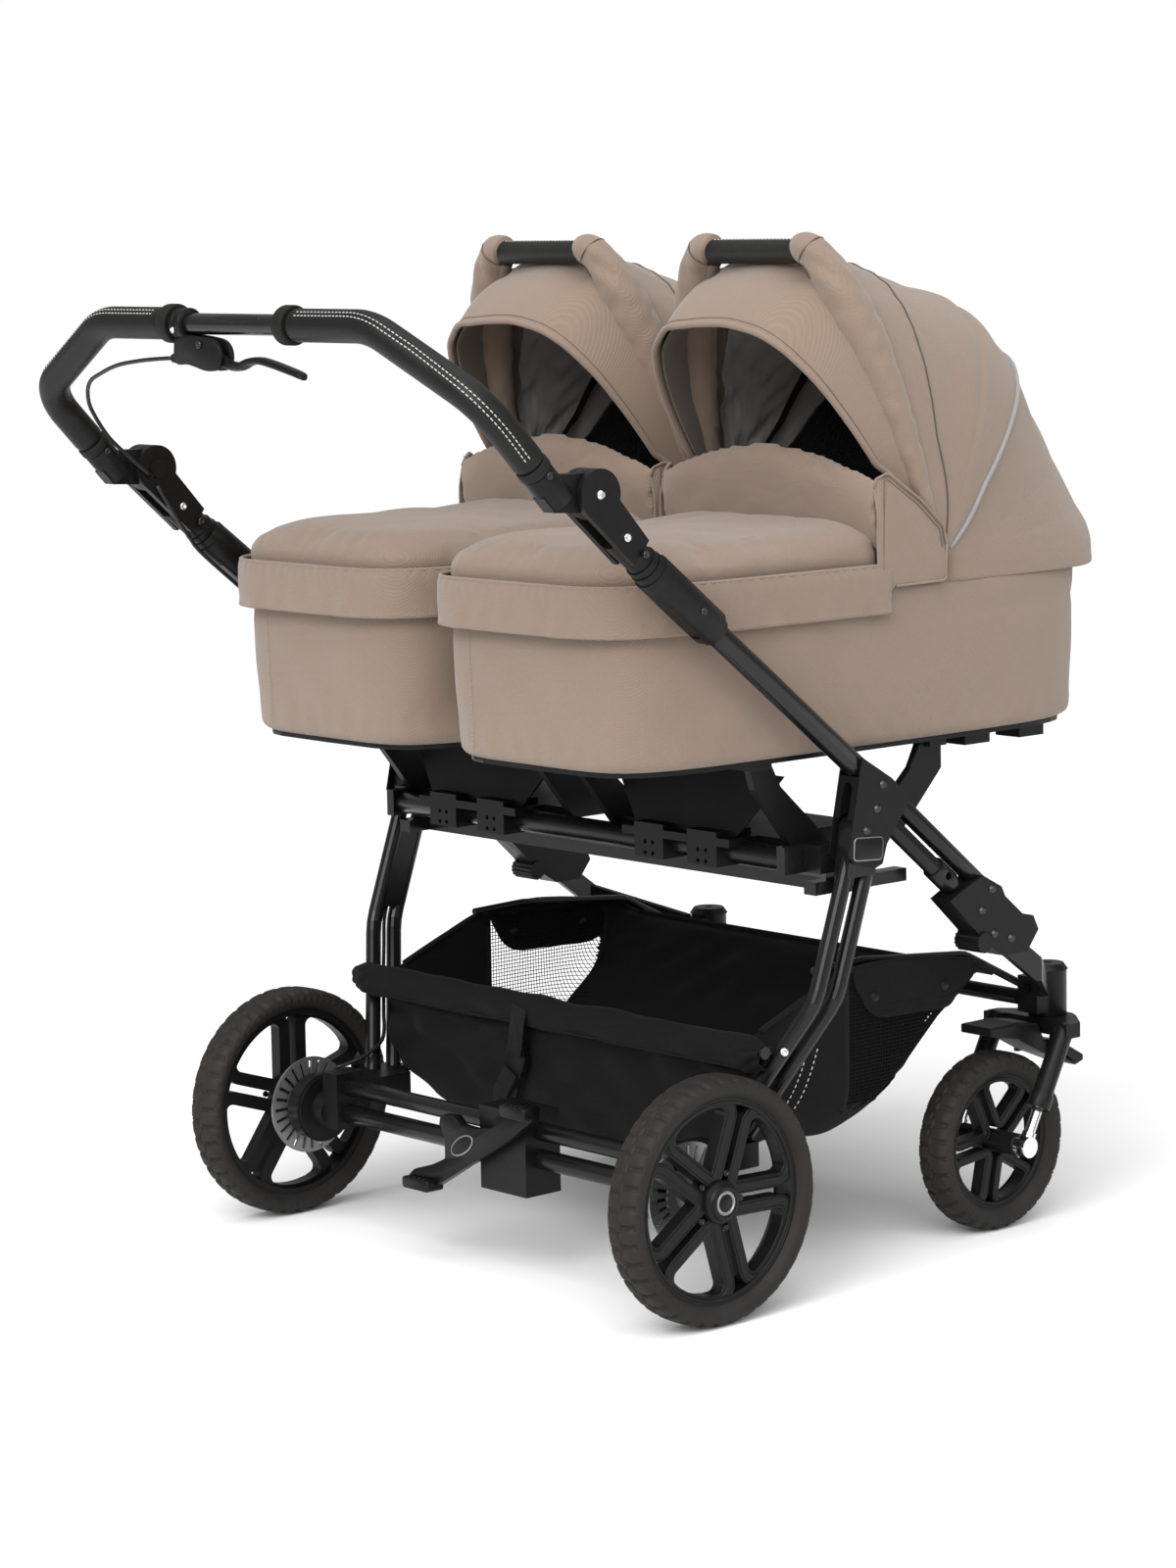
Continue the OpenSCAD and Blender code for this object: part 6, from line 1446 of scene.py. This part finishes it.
# hand brake: clamp, cheeks, cable screw and a waved blade
upright = ((1, 0, 0), (0, 0, 1))  # across and up, for plates that face back
lever = {"pivot": (-45.0, -321.0, 1025.0), "slot": 4.6, "cheek": 4.4, "points": 100, "around": 24,
         "line": ((-46, 1025), (-25, 1014.5), (-8, 1005.5), (12, 1003), (30, 1008), (46, 1009.5), (64, 1007),
                  (92, 1001), (114, 995.5), (119, 992)),
         "web": ((-89, 1033), (-70, 1035), (-34, 1032), (-18, 1028), (-10, 1019), (-10, 1007), (-19, 999), (-36, 998),
                 (-56, 1002), (-68, 1004), (-84, 1004), (-90, 1009)),
         "clamp": ((11.2, 0), (15.4, 0), (16.4, 1), (16.4, 8), (15.8, 8.6), (15.8, 11.4), (16.4, 12), (16.4, 19),
                   (15.4, 20), (11.2, 20)),
         "screw": ((3.4, 0), (5.4, 0.6), (5.4, 6), (4.0, 7), (4.0, 8.6), (5.0, 9.2), (5.0, 13), (4.2, 14.6),
                   (2.3, 16.4)),
         "wide": ((-46, -4, 14, 100, 119), (4.0, 4.0, 7.4, 7.2, 6.2)),
         "thick": ((-46, -30, 0, 30, 119), (7.0, 6.4, 5.0, 4.0, 3.2)),
         "spine": ((-88, 1032), (-72, 1033), (-66, 1022), (-68, 1008), (-82, 1005), (-88, 1010))}


def buildLever():
    x, y, z = lever["pivot"]
    n, m = lever["points"], lever["around"]
    line = throughPoints([(a, y, b) for a, b in lever["line"]], n)
    run = unit(np.gradient(line, axis=0))
    above = np.cross(run, (0, -1, 0))
    end = np.minimum(np.arange(n), np.arange(n)[::-1])
    soft = np.sqrt(1 - (1 - np.clip(end / 4, 0.12, 1)) ** 2)  # rounded at both ends
    wide, thick = (soft * np.interp(line[:, 0], *lever[k]) for k in ("wide", "thick"))
    a = 2 * np.pi * np.arange(m) / m
    c, s = (np.sign(f) * np.abs(f) ** 0.65 for f in (np.cos(a), np.sin(a)))
    grid = (line[:, None] + (wide[:, None] * c)[..., None] * np.array([0, 1, 0])
            + (thick[:, None] * s)[..., None] * above[:, None])
    gridPiece("brake_lever_blade", work(grid), blackPlastic, "brake_lever", "black_plastic", ring=True,
              replaces=("brake_lever",))
    wall, gap = lever["cheek"], lever["slot"]
    web, spine = (throughPoints(np.vstack([lever[k], lever[k][:1]]), 73)[:-1] for k in ("web", "spine"))
    for name, outline, place, deep, edge, replaces in (
            ("lever_cheek_rear", web, y - gap, wall, 1.2, ("lever_bracket",)),
            ("lever_cheek_front", web, y + gap + wall, wall, 1.2, ()),
            ("lever_spine", spine, y + gap, 2 * gap, 0.5, ())):
        plate(name, outline, (0, place, 0), *upright, deep, edge, blackPlastic, "handlebar", "black_plastic", replaces)
    for name, at, axis, profile, finish, slot, count in (
            ("lever_clamp", (-90.4, y, 1046), (1, 0, 0), lever["clamp"], blackPlastic, "black_plastic", 48),
            ("cable_screw", (-88, y, 1010), (-1, 0, 0), lever["screw"], softRubber, "black_plastic", 24),
            ("lever_pin", (x, y - gap - wall, z), (0, -1, 0), socketed(4.2, 2.0, -0.8), darkSteel, "chrome", 20),
            ("clamp_screw", (-80.4, y - 15.6, 1040), (0, -1, -0.2), socketed(3.4, 2.2, -2.0), chrome, "chrome", 20)):
        turned(name, at, axis, profile, finish, "handlebar", slot, count)


# screws of the frame: places on the outer faces, and on the inner faces of the tubes
screws = {"arm_screw": ("handlebar", (387.3, -354.7), ((-231, 900),), 3.9, darkSteel),
          "knuckle_screw": ("push_frame", (388.3, -353.7), ((-131, 833),), 4.4, chrome),
          "sleeve_screw": ("push_frame", (391.2, -350.8), ((-109, 815), (-31, 752)), 4.0, darkSteel)}
legScrew = {"at": (345.5, 118.3, 271.5), "face": (0.75, -0.66, 0.0), "tube": 9.9, "radius": 4.6}


def buildScrews():
    for name, (body, faces, spots, radius, finish) in screws.items():
        head = socketed(radius, 1.8)
        for label, hand in sides.items():
            for j, x in enumerate(faces):
                for k, spot in enumerate(spots):
                    at, axis = (hand * abs(x), *spot), (hand * np.sign(x), 0, 0)
                    turned(f"{name}_{label}_{j}{k}", at, axis, head, finish, body, "chrome", 20)
    face, head = np.array(legScrew["face"]), socketed(legScrew["radius"], 2.0)
    for label, hand in sides.items():
        at = (np.array(legScrew["at"]) + face * legScrew["tube"]) * (hand, 1, 1)
        turned("leg_screw_" + label, at, face * (hand, 1, 1), head, chrome, "rear_frame", "chrome", 20)


# foot brake: a cranked plate with a pad at each end
pedal = {"y": (-34.0, -44.9, -57.0), "pads": ((-62.4, 89.0, 23.0, 6.5), (105.0, 195.0, 21.0, 7.0)),
         "ribs": (-12, -4, 4, 12), "oval": (7.0, 142.0, 21.0, 9.5), "tip": 30,
         "web": ((-84, 84), (-48, 84), (-22, 99), (20, 123), (50, 139), (86, 160), (124, 187), (123, 200), (92, 202),
                 (68, 186), (60, 170), (28, 163), (4, 164), (-7, 173), (-30, 171), (-33, 160), (-24, 146), (-24, 122),
                 (-46, 112), (-78, 102), (-88, 94))}


def pedalPlate(name, outline, at, deep, edge, material=blackPlastic, slot="black_plastic", replaces=()):
    plate(name, outline, at, *upright, deep, edge, material, "brake_pedal", slot, replaces)


def buildPedal():
    inner, outer, reach = pedal["y"]
    outline = evenly(bent(np.vstack([pedal["web"][-1:], pedal["web"], pedal["web"][:1]]), 3.0, 5)[1:-1], 161)[:-1]
    pedalPlate("pedal_web", outline, (0, inner, 0), inner - outer, 1.4, replaces=("brake_pedal",))
    for k, (x, z, half, high) in enumerate(pedal["pads"]):
        pedalPlate(f"pedal_pad_{k}", roundedBox((half, high), 4.0), (x, inner - 1, z), inner - 1 - reach, 2.0)
        for j, dx in enumerate(pedal["ribs"]):
            pedalPlate(f"pedal_rib_{k}{j}", roundedBox((1.5, 1.2), 0.8), (x + dx, outer, z + high + 0.2),
                       outer - reach - 2, 0.4, softRubber)
    x, z, long, high = pedal["oval"]
    a = np.linspace(0, 2 * np.pi, 48, endpoint=False)
    tip = math.radians(pedal["tip"])
    turn = np.array([[math.cos(tip), math.sin(tip)], [-math.sin(tip), math.cos(tip)]])
    for name, size, deep, finish, slot in (("pedal_oval_rim", 1.0, 0.9, greySteel, "steel"),
                                           ("pedal_oval", 0.92, 1.3, blackPlastic, "black_plastic")):
        shape = np.stack([long * size * np.cos(a), (high - (1 - size) * (long - high)) * size * np.sin(a)], -1)
        pedalPlate(name, shape @ turn + (x, z), (0, outer, 0), deep, 0.3, finish, slot)


# bare plates where the real one carries a badge
badge = {"at": (386.4, 206.0, 481.0), "half": (22.0, 12.6), "corner": 5.5, "tip": 4.0, "oval": (16.0, 40.0, 30.0)}


def buildBadges():
    tip = math.radians(badge["tip"])
    for label, hand in sides.items():
        at = np.array(badge["at"]) * (hand, 1, 1)
        u = hand * np.array([0, math.cos(tip), -math.sin(tip)])
        v = np.array([0, math.sin(tip), math.cos(tip)])
        for name, inset, deep, finish, slot in (("badge_rim_", 0.0, 1.4, greySteel, "steel"),
                                                ("badge_plate_", 1.1, 1.9, blackPlastic, "black_plastic")):
            outline = roundedBox(np.array(badge["half"]) - inset, badge["corner"] - inset)
            plate(name + label, outline, at, u, v, deep, 0.4, finish, "chassis", slot)
    mid, long, turn = badge["oval"]
    r, a = np.linspace(0.02, 1, 14)[:, None], np.linspace(0, 2 * np.pi, 48, endpoint=False)[None]
    high = handle["tube"] + 0.45 * np.sqrt(1 - np.minimum(r, 0.999) ** 6)
    lean = np.radians(45 + turn * r * np.sin(a))
    x, y, z = mid + long * r * np.cos(a), barEnd[1] - high * np.cos(lean), barEnd[2] + high * np.sin(lean)
    oval = gridPiece("bar_oval", work(np.stack([x, y, z], -1)), satinMetal, "handlebar", "frame_metal", wrapCols=True,
                     flip=True)
    solidify(oval, 0.0004)


# sewn lines down the foot of each cot
footSeam = {"stitch": (0.0048, 0.003, 0.00055),  # for each seam: x, heights, y at its foot and how far y runs back
            "lines": {"skirt": (-60.0, (724, 770), -379.3, 0.0), "tub": (-84.0, (590, 720), -361.5, 3.0)}}


def buildFootSeams():
    t = np.linspace(0, 1, 40)
    for label, s in sides.items():
        for name, (x, (z0, z1), y, back) in footSeam["lines"].items():
            line = np.column_stack([x + 1.5 * np.sin(3 * t), y - back * t, z0 + (z1 - z0) * t])
            dashes(f"foot_seam_{name}_{label}", atCot(line, s), (0, -1, 0), *footSeam["stitch"], beigeThread,
                   "cot_" + label, "beige_fabric")


buildLever()
buildScrews()
buildPedal()
buildBadges()
buildFootSeams()
print("fittings built")

# floor
floorSize = {"half": 9.0, "z": -0.0005}


def buildFloor():
    h, z = floorSize["half"], floorSize["z"]
    mesh = bpy.data.meshes.new("studio_floor")
    mesh.from_pydata([(-h, -h, z), (h, -h, z), (h, h, z), (-h, h, z)], [], [(0, 1, 2, 3)])
    paper, tree, bsdf, place = startMaterial("palePaper", Roughness=0.9)
    tone = noise(tree, place, 3.0, 2.0)
    link(tree, mixColour(tree, tone, (0.95, 0.95, 0.95, 1), (0.97, 0.97, 0.97, 1)), bsdf.inputs["Base Color"])
    mesh.materials.append(paper)
    addObject("studio_floor", mesh)


buildFloor()
